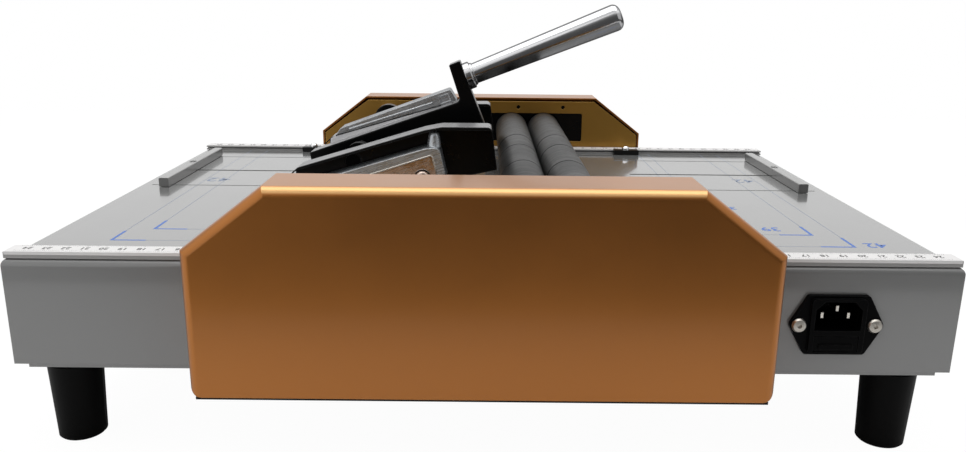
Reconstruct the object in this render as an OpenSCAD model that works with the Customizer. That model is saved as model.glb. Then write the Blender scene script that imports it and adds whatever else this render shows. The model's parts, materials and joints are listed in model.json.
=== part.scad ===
// Flat-bed booklet maker: two staplers pressed by a hand lever, and a pair of rubber
// rollers that fold the sheets when a knife lifts them out of the table.
// X runs along the paper path, Y across the sheet, Z up. Z is 0 under the feet.
// The rulers count from X = 0. The mains inlet is on the -Y side, the operator on +Y.

/* [Body] */
// Length of the steel body along the paper path
body_l = 503; // [500:1:540]
// Depth of the steel body across the paper
body_d = 347; // [346:1:360]
// Height of the body with its base plate
body_h = 61; // [60:1:80]
// Height of each foot
foot_h = 51; // [20:1:90]
// Thickness of the folded body sheet
sheet_t = 2; // [1.5:0.1:2.5]
// Radius of the bends along the top edges
body_bend = 4; // [3:0.5:6]

/* [Covers] */
// Half width of a cover at its foot
cover_half = 145; // [141:1:160]
// Half width of a cover along its top
cover_top_half = 104.2; // [100:0.1:118]
// Height of a cover above the table
cover_rise = 47.5; // [46:0.5:60]
// Height above the table where the slanted shoulder starts
cover_shoulder = 15.8; // [12:0.2:20]
// How far a cover stands out from its side plate
cover_out = 34; // [32:1:50]
// Bend radius of a cover
cover_bend = 5; // [4:0.5:7]

/* [Rollers] */
// Place of the left roller along the paper path
roller_x = 25; // [25:0.5:30]
// Height of the roller axes above the table
roller_z = 20; // [20:0.5:22]
// Radius of the rubber
rubber_r = 14.25; // [14:0.05:14.3]
// Radius of the roller shafts
shaft_r = 4; // [3:0.5:5]
// Number of teeth on each roller gear
roller_teeth = 29; // [29:1:29]

/* [Staplers and lever] */
// Distance between the two staplers
stapler_pitch = 126; // [120:1:130]
// Height of the bracket tops above the table
bracket_rise = 55; // [54:0.5:58]
// Slope of the lever arm at rest
lever_slope = 19.2; // [18:0.1:20]
// Slope of the handle at rest
handle_slope = 21.9; // [15:0.1:30]
// Length of the chrome handle
handle_l = 109; // [80:1:130]
// Radius of the handle at its collar
handle_r0 = 7.2; // [6:0.1:8]
// Radius of the handle near its tip
handle_r1 = 9.3; // [8:0.1:11]

/* [Table fittings] */
// Width of a ruler rail
rail_w = 13; // [11:0.5:13]
// Height of a ruler rail
rail_h = 3.5; // [3.5:0.1:3.8]
// Height of the paper stops
stop_h = 6.5; // [5:0.5:9]
// Distance of each stop from the ruler's zero
stop_x = 227; // [150:1:229]

/* [Hidden] */

$fn = 48;
eps = 0.01;

table_z = foot_h + body_h;
base_t = 2;
base_inset = 7.5;
half_l = body_l / 2;
half_d = body_d / 2;
floor_z = foot_h + base_t;
ceiling_z = table_z - sheet_t;

plate_t = 2;
plate_gap = 3;
cover_t = 1.6;
cover_foot = table_z - 59.2;
far_cover_shift = -2.8;
cover_seat = 1.5;

bearing_r = 11;
bearing_w = 7;
pocket_deep = 2.5;
fit_gap = 0.05;
gear_y = half_d + plate_t + bearing_w + 2;
gear_w = 6;
tooth_module = 1;
idler_teeth = 48;
pinion_teeth = 14;
idler_angle = -119;
pinion_angle = -148;

roller_pitch = tooth_module * roller_teeth;
left_axis = [roller_x, roller_z];
right_axis = [roller_x + roller_pitch, roller_z];
idler_reach = tooth_module * (roller_teeth + idler_teeth) / 2;
pinion_reach = tooth_module * (idler_teeth + pinion_teeth) / 2;
idler_axis = left_axis + idler_reach * [cos(idler_angle), sin(idler_angle)];
pinion_axis = idler_axis + pinion_reach * [cos(pinion_angle), sin(pinion_angle)];
rubber_end = 2;
rubber_half = half_d + plate_t + rubber_end;
groove_places = [45, 0, -62];

knife_x = roller_x + roller_pitch / 2;
knife_from = -140;
knife_to = 156;
knife_t = 1;
knife_rest = table_z - 2.5;
knife_lift = 16;
cam_z = floor_z + 24;
cam_r = 7;
cam_w = 6;
follower_r = 4;
follower_gap = 1;
carriage_low = cam_z + cam_r + follower_gap + 1;
carriage_high = ceiling_z - knife_lift - 1;
post_x = knife_x + 14;
post_y = 110;
post_r = 4;

lay_edge = half_d - 13.5;
slot_y = 66;
slot_w = 3.2;
slot_from = 116;
slot_to = 240;
line_from = 112;
line_to = 242;
groove_y = [slot_y - 56, slot_y + 59];
groove_w = 1.6;
groove_deep = 0.7;

lever_axis = [-86, 29];
lever_shaft_r = 5;
stapler_axis = [-112, 13];
stapler_shaft_r = 4;
boss_r = 12.5;
boss_h = 8;
bracket_t = 2;
bracket_w = 20;
near_bracket_y = -64;
far_bracket_y = near_bracket_y + stapler_pitch;
near_wall_y = near_bracket_y + bracket_w - bracket_t;
near_stapler_y = -68;
far_stapler_y = near_stapler_y + stapler_pitch;
cap_w = 20;
cap_t = 1.5;
magazine_w = cap_w - 2 * cap_t;
magazine_wall = 2;
rivet_at = [-39, 23.2];
push_r = 2.5;
push_l = 8.5;
head_x = -28;
anvil_t = 1.2;
bar_place = [-40, 30.2];
bar_r = 4;
arm_y = 0;
arm_w = 16;
arm_t = 2;
channel_w = 19;
collar_r = 9.5;
collar_l = 6;

inlet_x = 186.4;
inlet_z = table_z - 31.5;
switch_x = -190;
button_x = 190;
panel_z = table_z - 30;

silver = "silver";
zinc = [0.72, 0.73, 0.74];
black = [0.06, 0.06, 0.065];
grey = [0.46, 0.46, 0.45];
gold = [0.47, 0.34, 0.12];
copper = [0.66, 0.36, 0.14];
rubber = [0.17, 0.17, 0.17];

// Points of an arc that rounds the corner at b of the path a, b, c
function unit(v) = v / norm(v);
function corner_arc(a, b, c, r, n = 6) =
    let (u = unit(a - b), w = unit(c - b), half = acos(u * w) / 2)
    let (o = b + unit(u + w) * r / sin(half), s = b + u * r / tan(half), e = b + w * r / tan(half))
    let (a0 = atan2(s.y - o.y, s.x - o.x), a1 = atan2(e.y - o.y, e.x - o.x))
    let (turn = (a1 - a0 + 540) % 360 - 180)
    [for (i = [0 : n]) o + r * [cos(a0 + turn * i / n), sin(a0 + turn * i / n)]];

// An outline whose corners are rounded by the radii given beside it, 0 for a sharp one
function rounded(p, radii) = [for (i = [0 : len(p) - 1])
    let (a = p[(i + len(p) - 1) % len(p)], c = p[(i + 1) % len(p)])
    each radii[i] > 0 ? corner_arc(a, p[i], c, radii[i]) : [p[i]]];

function box_outline(x0, y0, x1, y1) = [[x0, y0], [x1, y0], [x1, y1], [x0, y1]];

// Involute gear outline: one flank's points, then teeth by rotation
function turned(p, a) = [p.x * cos(a) - p.y * sin(a), p.x * sin(a) + p.y * cos(a)];
function involute(rb, r) = let (t = sqrt(max(0, r * r / rb / rb - 1)) * 180 / PI)
    [r, t - atan(t * PI / 180)];
function flank(rb, half, radii) = [for (r = radii)
    let (q = involute(rb, max(r, rb))) r * [cos(half - q[1]), sin(half - q[1])]];
function gear_outline(teeth, slack = 0.12) =
    let (rp = tooth_module * teeth / 2, rb = rp * cos(20), tip = rp + 0.9 * tooth_module)
    let (root = rp - 1.2 * tooth_module, low = max(rb, root + 0.1))
    let (half = 90 / teeth - slack / rp * 90 / PI + involute(rb, rp)[1])
    let (side = flank(rb, half, [root, low, (low + tip) / 2, tip]))
    let (other = [for (i = [len(side) - 1 : -1 : 0]) [side[i].x, -side[i].y]])
    [for (k = [0 : teeth - 1]) each [for (p = concat([for (q = side) [q.x, -q.y]],
        [for (i = [len(side) - 1 : -1 : 0]) side[i]])) turned(p, 360 * k / teeth)]];

// Turn of gear b so that it meshes with gear a, b lying at angle phi from a
function mesh_turn(phi, turn_a, a, b) = phi + 180 - 180 / b + (phi - turn_a) * a / b;

idler_turn = mesh_turn(idler_angle, 0, roller_teeth, idler_teeth);
pinion_turn = mesh_turn(pinion_angle, idler_turn, idler_teeth, pinion_teeth);
right_turn = mesh_turn(0, 0, roller_teeth, roller_teeth);

// A profile drawn in X and Z, extruded from y0 to y1
module along_y(y0, y1) {
    translate([0, y1, 0]) rotate([90, 0, 0]) linear_extrude(y1 - y0) children();
}

// A profile drawn in Y and Z, extruded from x0 to x1
module along_x(x0, x1) {
    translate([x0, 0, 0]) rotate([90, 0, 90]) linear_extrude(x1 - x0) children();
}

// The same, with Z counted from the table's top
module table_y(y0, y1) {
    translate([0, 0, table_z]) along_y(y0, y1) children();
}

// A round bar along Y at place p, Z counted from the table's top
module rod(p, r, y0, y1) {
    table_y(y0, y1) translate(p) circle(r);
}

// A block from its low corner to its high corner
module block(low, high) {
    translate(low) cube(high - low);
}

// Its child and the child's mirror image on the other side of the machine
module both_sides() {
    children();
    mirror([0, 1, 0]) children();
}

// BODY

// Rectangle with its two upper corners rounded by true arcs
module arched(x0, y0, x1, y1, r) {
    translate([x0, y0]) square([x1 - x0, y1 - r - y0]);
    translate([x0 + r, y1 - r - eps]) square([x1 - x0 - 2 * r, r + eps]);
    for (x = [x0 + r, x1 - r]) translate([x, y1 - r]) circle(r);
}

module body_block(inset) {
    r = body_bend - (inset > 0 ? sheet_t : 0);
    top = table_z - inset;
    x = half_l - inset;
    y = half_d - inset;
    low = floor_z - (inset > 0 ? 1 : 0);
    intersection() {
        along_x(-x, x) arched(-y, low, y, top, r);
        along_y(-y, y) arched(-x, low, x, top, r);
    }
}

module stop_slot(side) {
    x0 = min(side * slot_from, side * slot_to);
    x1 = max(side * slot_from, side * slot_to);
    block([x0, slot_y - slot_w / 2, ceiling_z - 1], [x1, slot_y + slot_w / 2, table_z + 1]);
}

module guide_grooves(side) {
    x0 = min(side * line_from, side * line_to);
    x1 = max(side * line_from, side * line_to);
    for (y = groove_y)
        block([x0, y - groove_w / 2, table_z - groove_deep], [x1, y + groove_w / 2, table_z + 1]);
}

// Seat of a clinching plate in the table's sheet, open above by the given height
module anvil_seat(y, above) {
    half = [13, 9];
    block([head_x - half.x, y - half.y, table_z - anvil_t], [head_x + half.x, y + half.y,
        table_z + above]);
}

module body_shell() {
    color(grey) difference() {
        body_block(0);
        body_block(sheet_t);
        block([knife_x - 2, knife_from - 2, ceiling_z - 1], [knife_x + 2, knife_to + 2, table_z + 1]);
        for (side = [-1, 1]) {
            stop_slot(side);
            guide_grooves(side);
        }
        for (y = [near_stapler_y, far_stapler_y]) anvil_seat(y + cap_w / 2, 1);
        translate([inlet_x, -half_d, inlet_z]) inlet_hole();
        translate([switch_x, half_d, panel_z]) block([-13.6, -5, -9.6], [13.6, 5, 9.6]);
        translate([button_x, half_d + 5, panel_z]) rotate([90, 0, 0]) cylinder(h = 10, r = 8.1);
        rod(pinion_axis, 7, half_d - 5, half_d + 5);
    }
}

module base_plate() {
    x = half_l - base_inset;
    y = half_d - 0.5;
    color(grey) difference() {
        block([-x, -y, foot_h], [x, y, floor_z]);
        for (p = foot_places) translate([p.x, p.y, foot_h - 1]) cylinder(h = base_t + 2, r = 2.55);
        for (i = [-6 : 6]) block([-120 + i * 9, -60, foot_h - 1], [-117 + i * 9, 20, floor_z + 1]);
    }
}

foot_places = [for (x = [-231.5, 231.5], y = [-148.5, 148.5]) [x, y]];
foot_top_r = 15.2;
foot_low_r = 13;
foot_core = foot_h - 12;

module foot() {
    lip = foot_h - 5;
    difference() {
        rotate_extrude() polygon([[0, 0], [foot_low_r - 1, 0], [foot_low_r, 1],
            [foot_top_r - 0.4, lip - 0.6], [foot_top_r - 0.9, lip], [foot_top_r, lip + 0.6],
            [foot_top_r, foot_h], [0, foot_h]]);
        translate([0, 0, -1]) cylinder(h = foot_core + 1, r = 5.2);
        cylinder(h = foot_h + 1, r = 2.55);
    }
}

module feet() {
    color(black) for (p = foot_places) translate([p.x, p.y, 0]) foot();
}

module foot_screws() {
    color(silver) for (p = foot_places) translate([p.x, p.y, foot_core - 3.5]) difference() {
        union() {
            cylinder(h = 3.5, r = 4.5);
            cylinder(h = foot_h + base_t + 2 - foot_core + 3.5, r = 2.5);
        }
        translate([0, 0, -1]) cylinder(h = 3, r = 2, $fn = 6);
    }
}

// SIDE PLATES AND COVERS

module side_outline(inset) {
    w = cover_half - inset;
    t = cover_top_half - inset * 0.6;
    top = cover_rise - inset;
    low = cover_foot - table_z;
    polygon([[-w, low], [w, low], [w, cover_shoulder - inset * 0.4], [t, top], [-t, top],
        [-w, cover_shoulder - inset * 0.4]]);
}

// Plate with the rollers' window, two tapped holes over it and the stapler shaft's bore
module side_plate(shift = 0) {
    color(gold) difference() {
        table_y(half_d, half_d + plate_t) difference() {
            translate([shift, 0]) side_outline(plate_gap);
            polygon(rounded(box_outline(1, 8.5, 89, 34), [1.5, 1.5, 1.5, 1.5]));
            for (p = [left_axis, right_axis]) translate(p) circle(rubber_r + 0.35);
            for (x = [31, 71.4]) translate([x, 39.3]) circle(1.7, $fn = 24);
            translate(stapler_axis) circle(stapler_shaft_r);
        }
    }
}

module near_side_plate() {
    mirror([0, 1, 0]) side_plate();
}

module far_side_plate() {
    color(gold) difference() {
        side_plate(far_cover_shift);
        rod(lever_axis, lever_shaft_r, half_d - 1, half_d + plate_t + 1);
        rod(pinion_axis, 7, half_d - 1, half_d + plate_t + 1);
    }
}

cover_run = cover_half - cover_top_half;
cover_climb = cover_rise - cover_shoulder;
cover_tilt = atan2(cover_run, cover_climb);
cover_y = half_d + plate_t + cover_seat;

// Outward reach of the slanted shoulder from the point above the table's middle
shoulder_reach = cover_half * cos(cover_tilt) + cover_shoulder * sin(cover_tilt);

// Half space whose outer edge, facing a degrees up from +X, is rounded to the front face
module cover_side(a, reach, y0, y1, r) {
    far = 400;
    rotate([0, -a, 0]) translate([0, 0, -far]) linear_extrude(2 * far) {
        translate([-far, y0]) square([far + reach - r, y1 - y0]);
        translate([-far, y0]) square([far + reach, y1 - y0 - r]);
        translate([reach - r, y1 - r]) circle(r);
    }
}

// The cover's outside, or with an inset its inside
module cover_block(inset) {
    r = cover_bend - inset;
    y0 = inset > 0 ? cover_y - 1 : cover_y;
    y1 = cover_y + cover_out - inset;
    low = inset > 0 ? cover_foot - 1 : cover_foot;
    side = cover_half - inset;
    translate([0, 0, table_z]) intersection() {
        cover_side(0, side, y0, y1, r);
        cover_side(cover_tilt, shoulder_reach - inset, y0, y1, r);
        cover_side(90, cover_rise - inset, y0, y1, r);
        cover_side(180 - cover_tilt, shoulder_reach - inset, y0, y1, r);
        cover_side(180, side, y0, y1, r);
        translate([-side - 1, y0, low - table_z]) cube([2 * side + 2, y1 - y0, 200]);
    }
}

// Front face whose two lower corners are rounded, as deep as the cover
module lower_corners() {
    r = cover_bend + 1.5;
    y0 = cover_y - 1;
    along_y(y0, y0 + cover_out + 2) mirror([0, 1])
        arched(-cover_half, -table_z - 60, cover_half, -cover_foot, r);
}

module cover() {
    color(copper) intersection() {
        difference() {
            cover_block(0);
            cover_block(cover_t);
        }
        lower_corners();
    }
}

module near_cover() {
    mirror([0, 1, 0]) cover();
}

module far_cover() {
    translate([far_cover_shift, 0, 0]) rotate([0, 0, 180]) near_cover();
}

// Strip under a cover on the +Y side, with a row of air slots
module cover_base() {
    x = cover_half - 3;
    strip_t = 1.4;
    low = cover_foot - strip_t;
    difference() {
        block([-x, half_d, low], [x, cover_y + cover_out - 1, cover_foot]);
        for (i = [-5 : 5]) block([i * 20 - 6, half_d + 14, low - 1],
            [i * 20 + 6, half_d + 18, cover_foot + 1]);
    }
}

module cover_bases() {
    color(black) {
        mirror([0, 1, 0]) cover_base();
        translate([far_cover_shift, 0, 0]) cover_base();
    }
}

// ROLLERS AND THEIR DRIVE

// Pockets for the rubber's ends and seats for the bearings, cut from a plate on the +Y side
module bearing_seats() {
    y = half_d + plate_t;
    for (p = [left_axis, right_axis]) {
        rod(p, rubber_r + 0.6, y - 1, y + pocket_deep);
        rod(p, bearing_r, y, y + bearing_w + 1);
    }
}

module near_bearing_plate() {
    y = half_d + plate_t;
    color(black) mirror([0, 1, 0]) difference() {
        table_y(y, y + bearing_w) polygon(rounded(box_outline(-8, 0, 98, 41), [3, 3, 3, 3]));
        bearing_seats();
    }
}

module far_bearing_plate() {
    y = half_d + plate_t;
    drop = idler_axis.y - 12;
    color(black) difference() {
        table_y(y, y + bearing_w) polygon(rounded([[-8, drop], [20, drop], [30, 0], [98, 0],
            [98, 41], [-8, 41]], [3, 3, 3, 3, 3, 3]));
        bearing_seats();
        rod(idler_axis, shaft_r, y - 1, y + bearing_w + 1);
    }
}

module bearing(p) {
    y = half_d + plate_t;
    table_y(y + pocket_deep, y + bearing_w) translate(p) difference() {
        circle(bearing_r);
        circle(shaft_r + fit_gap);
    }
}

module roller_bearings() {
    color(silver) both_sides() {
        bearing(left_axis);
        bearing(right_axis);
    }
}

module roller_shaft(p) {
    end = gear_y + gear_w + 2;
    color(silver) difference() {
        rod(p, shaft_r, -end + gear_w, end);
        rod(p, shaft_r + 1, gear_y + gear_w + 0.5, gear_y + gear_w + 1);
    }
    color(silver) rod(p, shaft_r - 0.5, gear_y + gear_w + 0.4, gear_y + gear_w + 1.1);
}

// Rubber sleeve with a shallow ring groove between its lengths
module roller_rubber(p) {
    g = 0.9;
    deep = 1.2;
    steps = [for (y = groove_places) each [[rubber_r, y + g], [rubber_r - deep, y],
        [rubber_r, y - g]]];
    color(rubber) translate([p.x, 0, table_z + p.y]) rotate([-90, 0, 0]) rotate_extrude()
        polygon(concat([[shaft_r, -rubber_half], [shaft_r, rubber_half],
            [rubber_r - 1, rubber_half], [rubber_r, rubber_half - 1]], steps,
            [[rubber_r, -rubber_half + 1], [rubber_r - 1, -rubber_half]]));
}

module gear(p, teeth, turn, bore) {
    color(silver) table_y(gear_y, gear_y + gear_w) translate(p) difference() {
        rotate(turn) polygon(gear_outline(teeth));
        circle(bore);
    }
}

module left_roller_shaft() {
    roller_shaft(left_axis);
}

module left_roller_rubber() {
    roller_rubber(left_axis);
}

module left_roller_gear() {
    gear(left_axis, roller_teeth, 0, shaft_r);
}

module right_roller_shaft() {
    roller_shaft(right_axis);
}

module right_roller_rubber() {
    roller_rubber(right_axis);
}

module right_roller_gear() {
    gear(right_axis, roller_teeth, right_turn, shaft_r);
}

module idler_gear() {
    gear(idler_axis, idler_teeth, idler_turn, shaft_r + fit_gap);
}

module idler_pin() {
    color(silver) {
        rod(idler_axis, shaft_r, half_d + plate_t, gear_y + gear_w + 0.5);
        rod(idler_axis, shaft_r + 2, gear_y + gear_w + 0.4, gear_y + gear_w + 2);
    }
}

motor_r = 26;
motor_l = 68;

module motor_pinion() {
    color(silver) rod(pinion_axis, shaft_r, half_d - 20, gear_y + gear_w);
    gear(pinion_axis, pinion_teeth, pinion_turn, shaft_r - 1);
}

module drive_motor() {
    inner = half_d - sheet_t;
    color(zinc) difference() {
        union() {
            rod(pinion_axis, motor_r, inner - 3.5 - motor_l, inner - 3.5);
            rod(pinion_axis, motor_r - 8, inner - 3.5 - motor_l - 5, inner - 3.5);
            table_y(inner - 3.5, inner) translate(pinion_axis) square(2 * motor_r, center = true);
        }
        rod(pinion_axis, shaft_r + fit_gap, half_d - 21, half_d);
    }
}

// KNIFE

module knife_blade() {
    low = carriage_low;
    color(silver) difference() {
        along_x(knife_x - knife_t / 2, knife_x + knife_t / 2)
            polygon(rounded(box_outline(knife_from, low, knife_to, knife_rest), [0, 0, 2, 2]));
        block([knife_x - 2, -cam_w / 2 - 2.5, low - 1], [knife_x + 2, cam_w / 2 + 2.5, carriage_high]);
    }
}

module knife_carriage() {
    roller_place = [knife_x, cam_z + cam_r + follower_gap + follower_r];
    color(zinc) difference() {
        union() {
            block([knife_x - 6, knife_from + 8, carriage_low], [knife_x - knife_t / 2, knife_to - 8,
                carriage_high]);
            block([knife_x + knife_t / 2, knife_from + 8, carriage_low],
                [knife_x + 6, knife_to - 8, carriage_high]);
            for (y = [-post_y, post_y]) block([knife_x + 5, y - 8, carriage_low],
                [post_x + 8, y + 8, carriage_high]);
        }
        for (y = [-post_y, post_y]) translate([post_x, y, carriage_low - 1])
            cylinder(h = 20, r = post_r + fit_gap);
        block([knife_x - 5, -cam_w / 2 - 1, carriage_low - 1],
            [knife_x + 5, cam_w / 2 + 1, carriage_high - 1.5]);
    }
    color(silver) along_y(-cam_w / 2, cam_w / 2) translate(roller_place) circle(follower_r);
    color(silver) along_y(-cam_w / 2 - 2, cam_w / 2 + 2) translate(roller_place) circle(1.2, $fn = 24);
}

module knife_guides() {
    color(silver) for (y = [-post_y, post_y]) {
        translate([post_x, y, floor_z]) cylinder(h = ceiling_z - floor_z, r = post_r);
        difference() {
            translate([post_x, y, floor_z]) cylinder(h = 6, r = 9);
            translate([post_x, y, floor_z - 1]) cylinder(h = 20, r = post_r - 0.5);
        }
    }
}

// Cam whose radius grows evenly from its low side to its high side
module knife_cam() {
    steps = 36;
    low_side = [for (i = [-steps : steps]) let (a = 90 + 180 * i / steps,
        r = cam_r + knife_lift * abs(i) / steps) r * [cos(a), sin(a)]];
    color(silver) {
        along_y(-cam_w / 2, cam_w / 2) translate([knife_x, cam_z]) polygon(low_side);
        along_y(-cam_w / 2 - 2, cam_w / 2 + 12) translate([knife_x, cam_z]) circle(3);
    }
}

module knife_motor() {
    y0 = cam_w / 2 + 1;
    color(zinc) difference() {
        union() {
            block([knife_x - 26, y0, floor_z + 3], [knife_x + 14, y0 + 22, cam_z + 7.5]);
            block([knife_x - 24, y0 + 2, floor_z], [knife_x + 12, y0 + 20, floor_z + 3]);
            translate([knife_x - 76, y0 + 11, floor_z + 15]) rotate([0, 90, 0])
                cylinder(h = 50, r = 12);
        }
        along_y(y0 - 1, y0 + 12) translate([knife_x, cam_z]) circle(3 + fit_gap);
    }
}

// RULERS, STOPS AND LAY CLAMPS

module rail(y0) {
    cut = 1.2;
    end = half_l - 1.5;
    inner = y0 < 0 ? y0 + rail_w : y0;
    tongue = y0 < 0 ? [inner - 3.4, inner + 1] : [inner - 1, inner + 3.4];
    color([0.42, 0.42, 0.42]) difference() {
        along_x(-end, end) translate([0, table_z]) polygon(rounded(
            box_outline(y0, 0, y0 + rail_w, rail_h), [0, 0, 0.6, 0.6]));
        along_x(-end - 1, end + 1) translate([0, table_z])
            polygon(box_outline(tongue[0], 1.2, tongue[1], 1.2 + cut));
    }
}

near_rail_y = -half_d + 1;
far_rail_y = lay_edge;

module near_ruler_rail() {
    rail(near_rail_y);
}

module far_ruler_rail() {
    rail(far_rail_y);
}

module ruler_tapes() {
    end = half_l - 2;
    z = table_z + rail_h;
    color("white") for (y = [near_rail_y, far_rail_y])
        block([-end, y + 1.2, z], [end, y + rail_w - 1.2, z + 0.3]);
}

stop_w = 7;
stop_from = 2;
stop_to = 131;
stop_lift = 0.3;
carriage_half = [9, 7];

// Paper stop at rest on the -X side: bar, neck in the table's slot and the shoe below
module stop_piece() {
    mid = -stop_x - stop_w / 2;
    z = table_z + stop_lift;
    color([0.5, 0.5, 0.5]) difference() {
        union() {
            along_y(stop_from, stop_to) translate([0, z]) polygon(rounded(box_outline(
                -stop_x - stop_w, 0, -stop_x, stop_h), [0, 0, 1, 1]));
            translate([mid, slot_y, ceiling_z - 1]) cylinder(h = z - ceiling_z + 2, r = 1.3);
            block([mid - carriage_half.x, slot_y - carriage_half.y, ceiling_z - 7.3],
                [mid + carriage_half.x, slot_y + carriage_half.y, ceiling_z - 0.3]);
            for (y = groove_y) block([-stop_x - stop_w + 1, y - 0.5, z - 0.6],
                [-stop_x - 1, y + 0.5, z + 1]);
        }
        for (dx = [-1.2, 1.2]) translate([mid + dx, slot_y, z + stop_h - 2.5])
            cylinder(h = 4, r = 1.6);
    }
}

module left_stop() {
    stop_piece();
}

module right_stop() {
    mirror([1, 0, 0]) stop_piece();
}

// Black block on the far lay edge, held by its tongue in the rail and a domed screw
module lay_clamp(x0, x1) {
    y0 = lay_edge - 7.5;
    y1 = lay_edge - 0.3;
    screw = [(x0 + x1) / 2 - 0.5, (y0 + y1) / 2];
    color(black) {
        along_y(y0, y1) translate([0, table_z]) polygon(rounded(
            box_outline(x0, 0.3, x1, 4.4), [0, 0, 0.8, 0.8]));
        block([x0 + 1, y1 - 1, table_z + 1.4], [x1 - 1, lay_edge + 3, table_z + 2.2]);
    }
    color(silver) translate([screw.x, screw.y, table_z + 4.3]) rotate_extrude()
        polygon(concat([[0, 0], [3.4, 0]], [for (a = [0 : 15 : 90]) [3.4 * cos(a), 0.8 + 2.6 * sin(a)]]));
}

module left_lay_clamp() {
    lay_clamp(-162, -142);
}

module right_lay_clamp() {
    lay_clamp(116.5, 138.5);
}

// INLET, SWITCH AND BUTTON

inlet_ear = 20;
inlet_half_w = 25;
inlet_top = 16.5;
drawer_top = -5.5;
drawer_low = -14.5;
socket_z = 5.5;
socket_half = [12.2, 8];

// Hexagonal flange seen from outside, its ears at the middle
module inlet_outline(grow) {
    w = 16 + grow;
    polygon(rounded([[-inlet_half_w - grow, 0], [-w, -inlet_top - grow], [w, -inlet_top - grow],
        [inlet_half_w + grow, 0], [w, inlet_top + grow], [-w, inlet_top + grow]],
        [3.5, 2, 2, 3.5, 2, 2]));
}

module inlet_hole() {
    block([-14.6, -5, -15.6], [14.6, 5, 15.1]);
    for (x = [-inlet_ear, inlet_ear]) translate([x, 5, 0]) rotate([90, 0, 0]) cylinder(h = 10, r = 1.7);
}

// Mouth of the socket: a rectangle whose two upper corners are cut off
module socket_mouth() {
    translate([0, socket_z]) polygon([[-socket_half.x, -socket_half.y], [socket_half.x, -socket_half.y],
        [socket_half.x, socket_half.y - 4.5], [socket_half.x - 4.5, socket_half.y],
        [-socket_half.x + 4.5, socket_half.y], [-socket_half.x, socket_half.y - 4.5]]);
}

module inlet_socket() {
    color(black) translate([inlet_x, -half_d, inlet_z]) difference() {
        union() {
            along_y(-2.5, 0) inlet_outline(0);
            along_y(-4.2, -2) polygon(rounded(
                box_outline(-14.5, -15, 14.5, 15), [1.5, 1.5, 2.5, 2.5]));
            block([-14.4, -1, -15.3], [14.4, 24, 15]);
        }
        along_y(-6, 15) socket_mouth();
        blades(31);
        along_y(-6, 20) polygon(box_outline(-11.8, drawer_low, 11.8, drawer_top));
        for (x = [-inlet_ear, inlet_ear]) translate([x, 1, 0]) rotate([90, 0, 0])
            cylinder(h = 6, r = 1.7);
    }
}

// The three contact blades, the middle one longer and higher
module blades(end) {
    translate([0, 0, socket_z]) {
        for (x = [-7, 7]) block([x - 0.75, 0.5, -2.6], [x + 0.75, end, 0.6]);
        block([-0.75, -1, 1.9], [0.75, end, 5.1]);
    }
}

module inlet_pins() {
    color(silver) translate([inlet_x, -half_d, inlet_z]) blades(30);
}

module inlet_screws() {
    color(silver) for (x = [-inlet_ear, inlet_ear]) translate([inlet_x + x, -half_d - 2.5, inlet_z])
        rotate([90, 0, 0]) difference() {
            union() {
                rotate_extrude() polygon([[0, -9], [1.6, -9], [1.6, 0], [3.9, 0], [3.9, 0.7],
                    [3.2, 1.7], [0, 2]]);
            }
            translate([0, 0, 0.6]) cylinder(h = 3, r = 1.3, $fn = 6);
        }
}

module fuse_drawer() {
    gap = 0.3;
    y = -half_d - 4.2;
    color(black) translate([inlet_x, 0, inlet_z]) {
        along_y(y + 0.2, y + 20) polygon(rounded(box_outline(-11.8 + gap, drawer_low + gap,
            11.8 - gap, drawer_top - gap), [0.8, 0.8, 0.8, 0.8]));
        along_y(y - 0.8, y + 1) polygon(rounded(box_outline(-9, drawer_low + 1.6, 9,
            drawer_low + 4.2), [0.6, 0.6, 0.6, 0.6]));
    }
}

rocker_tilt = 9;
rocker_deep = 4;
rocker_pin = 1.5;

module switch_frame() {
    color(black) translate([switch_x, half_d, panel_z]) difference() {
        union() {
            along_y(0, 2.2) polygon(rounded(box_outline(-15.5, -11.5, 15.5, 11.5), [1.5, 1.5, 1.5, 1.5]));
            block([-13.5, -22, -9.5], [13.5, 1, 9.5]);
        }
        block([-12.2, -9, -8.2], [12.2, 3, 8.2]);
        translate([0, -rocker_deep, -9]) cylinder(h = 18, r = rocker_pin + fit_gap);
    }
}

// Rocker that tips about an axis along Z, one end in and the other end out
module switch_rocker() {
    color([0.25, 0.02, 0.02]) translate([switch_x, half_d - rocker_deep, panel_z])
        rotate([0, 0, rocker_tilt]) {
            translate([0, 0, -7.8]) linear_extrude(15.6) polygon([[-10.8, 0.5], [-10.8, 6.3], [0, 4.6],
                [10.8, 6.3], [10.8, 0.5], [3, -2.5], [-3, -2.5]]);
            translate([0, 0, -8.9]) cylinder(h = 17.8, r = rocker_pin);
        }
}

module button_bezel() {
    color(silver) translate([button_x, half_d, panel_z]) rotate([-90, 0, 0]) difference() {
        union() {
            translate([0, 0, 0]) rotate_extrude() polygon([[0, 0], [11, 0], [11, 1], [10, 2.2],
                [0, 2.2]]);
            translate([0, 0, -24]) cylinder(h = 25, r = 8);
        }
        translate([0, 0, -12]) cylinder(h = 20, r = 6.6);
    }
}

module start_button() {
    color([0.1, 0.35, 0.14]) translate([button_x, half_d, panel_z]) rotate([-90, 0, 0])
        translate([0, 0, -8]) rotate_extrude() polygon([[0, 0], [6.3, 0], [6.3, 12.2], [5.7, 12.8],
            [0, 13]]);
}

module control_board() {
    z = floor_z + 4;
    color([0.05, 0.22, 0.12]) block([70, 70, z], [160, 140, z + 1.6]);
    color(silver) for (x = [74, 156], y = [74, 136]) translate([x, y, floor_z]) cylinder(h = 4, r = 3);
    color(black) {
        block([80, 80, z + 1.5], [105, 110, z + 22]);
        block([115, 100, z + 1.5], [131, 130, z + 14]);
        translate([145, 90, z + 1.5]) cylinder(h = 18, r = 7);
    }
}

// STAPLING HEAD

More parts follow.
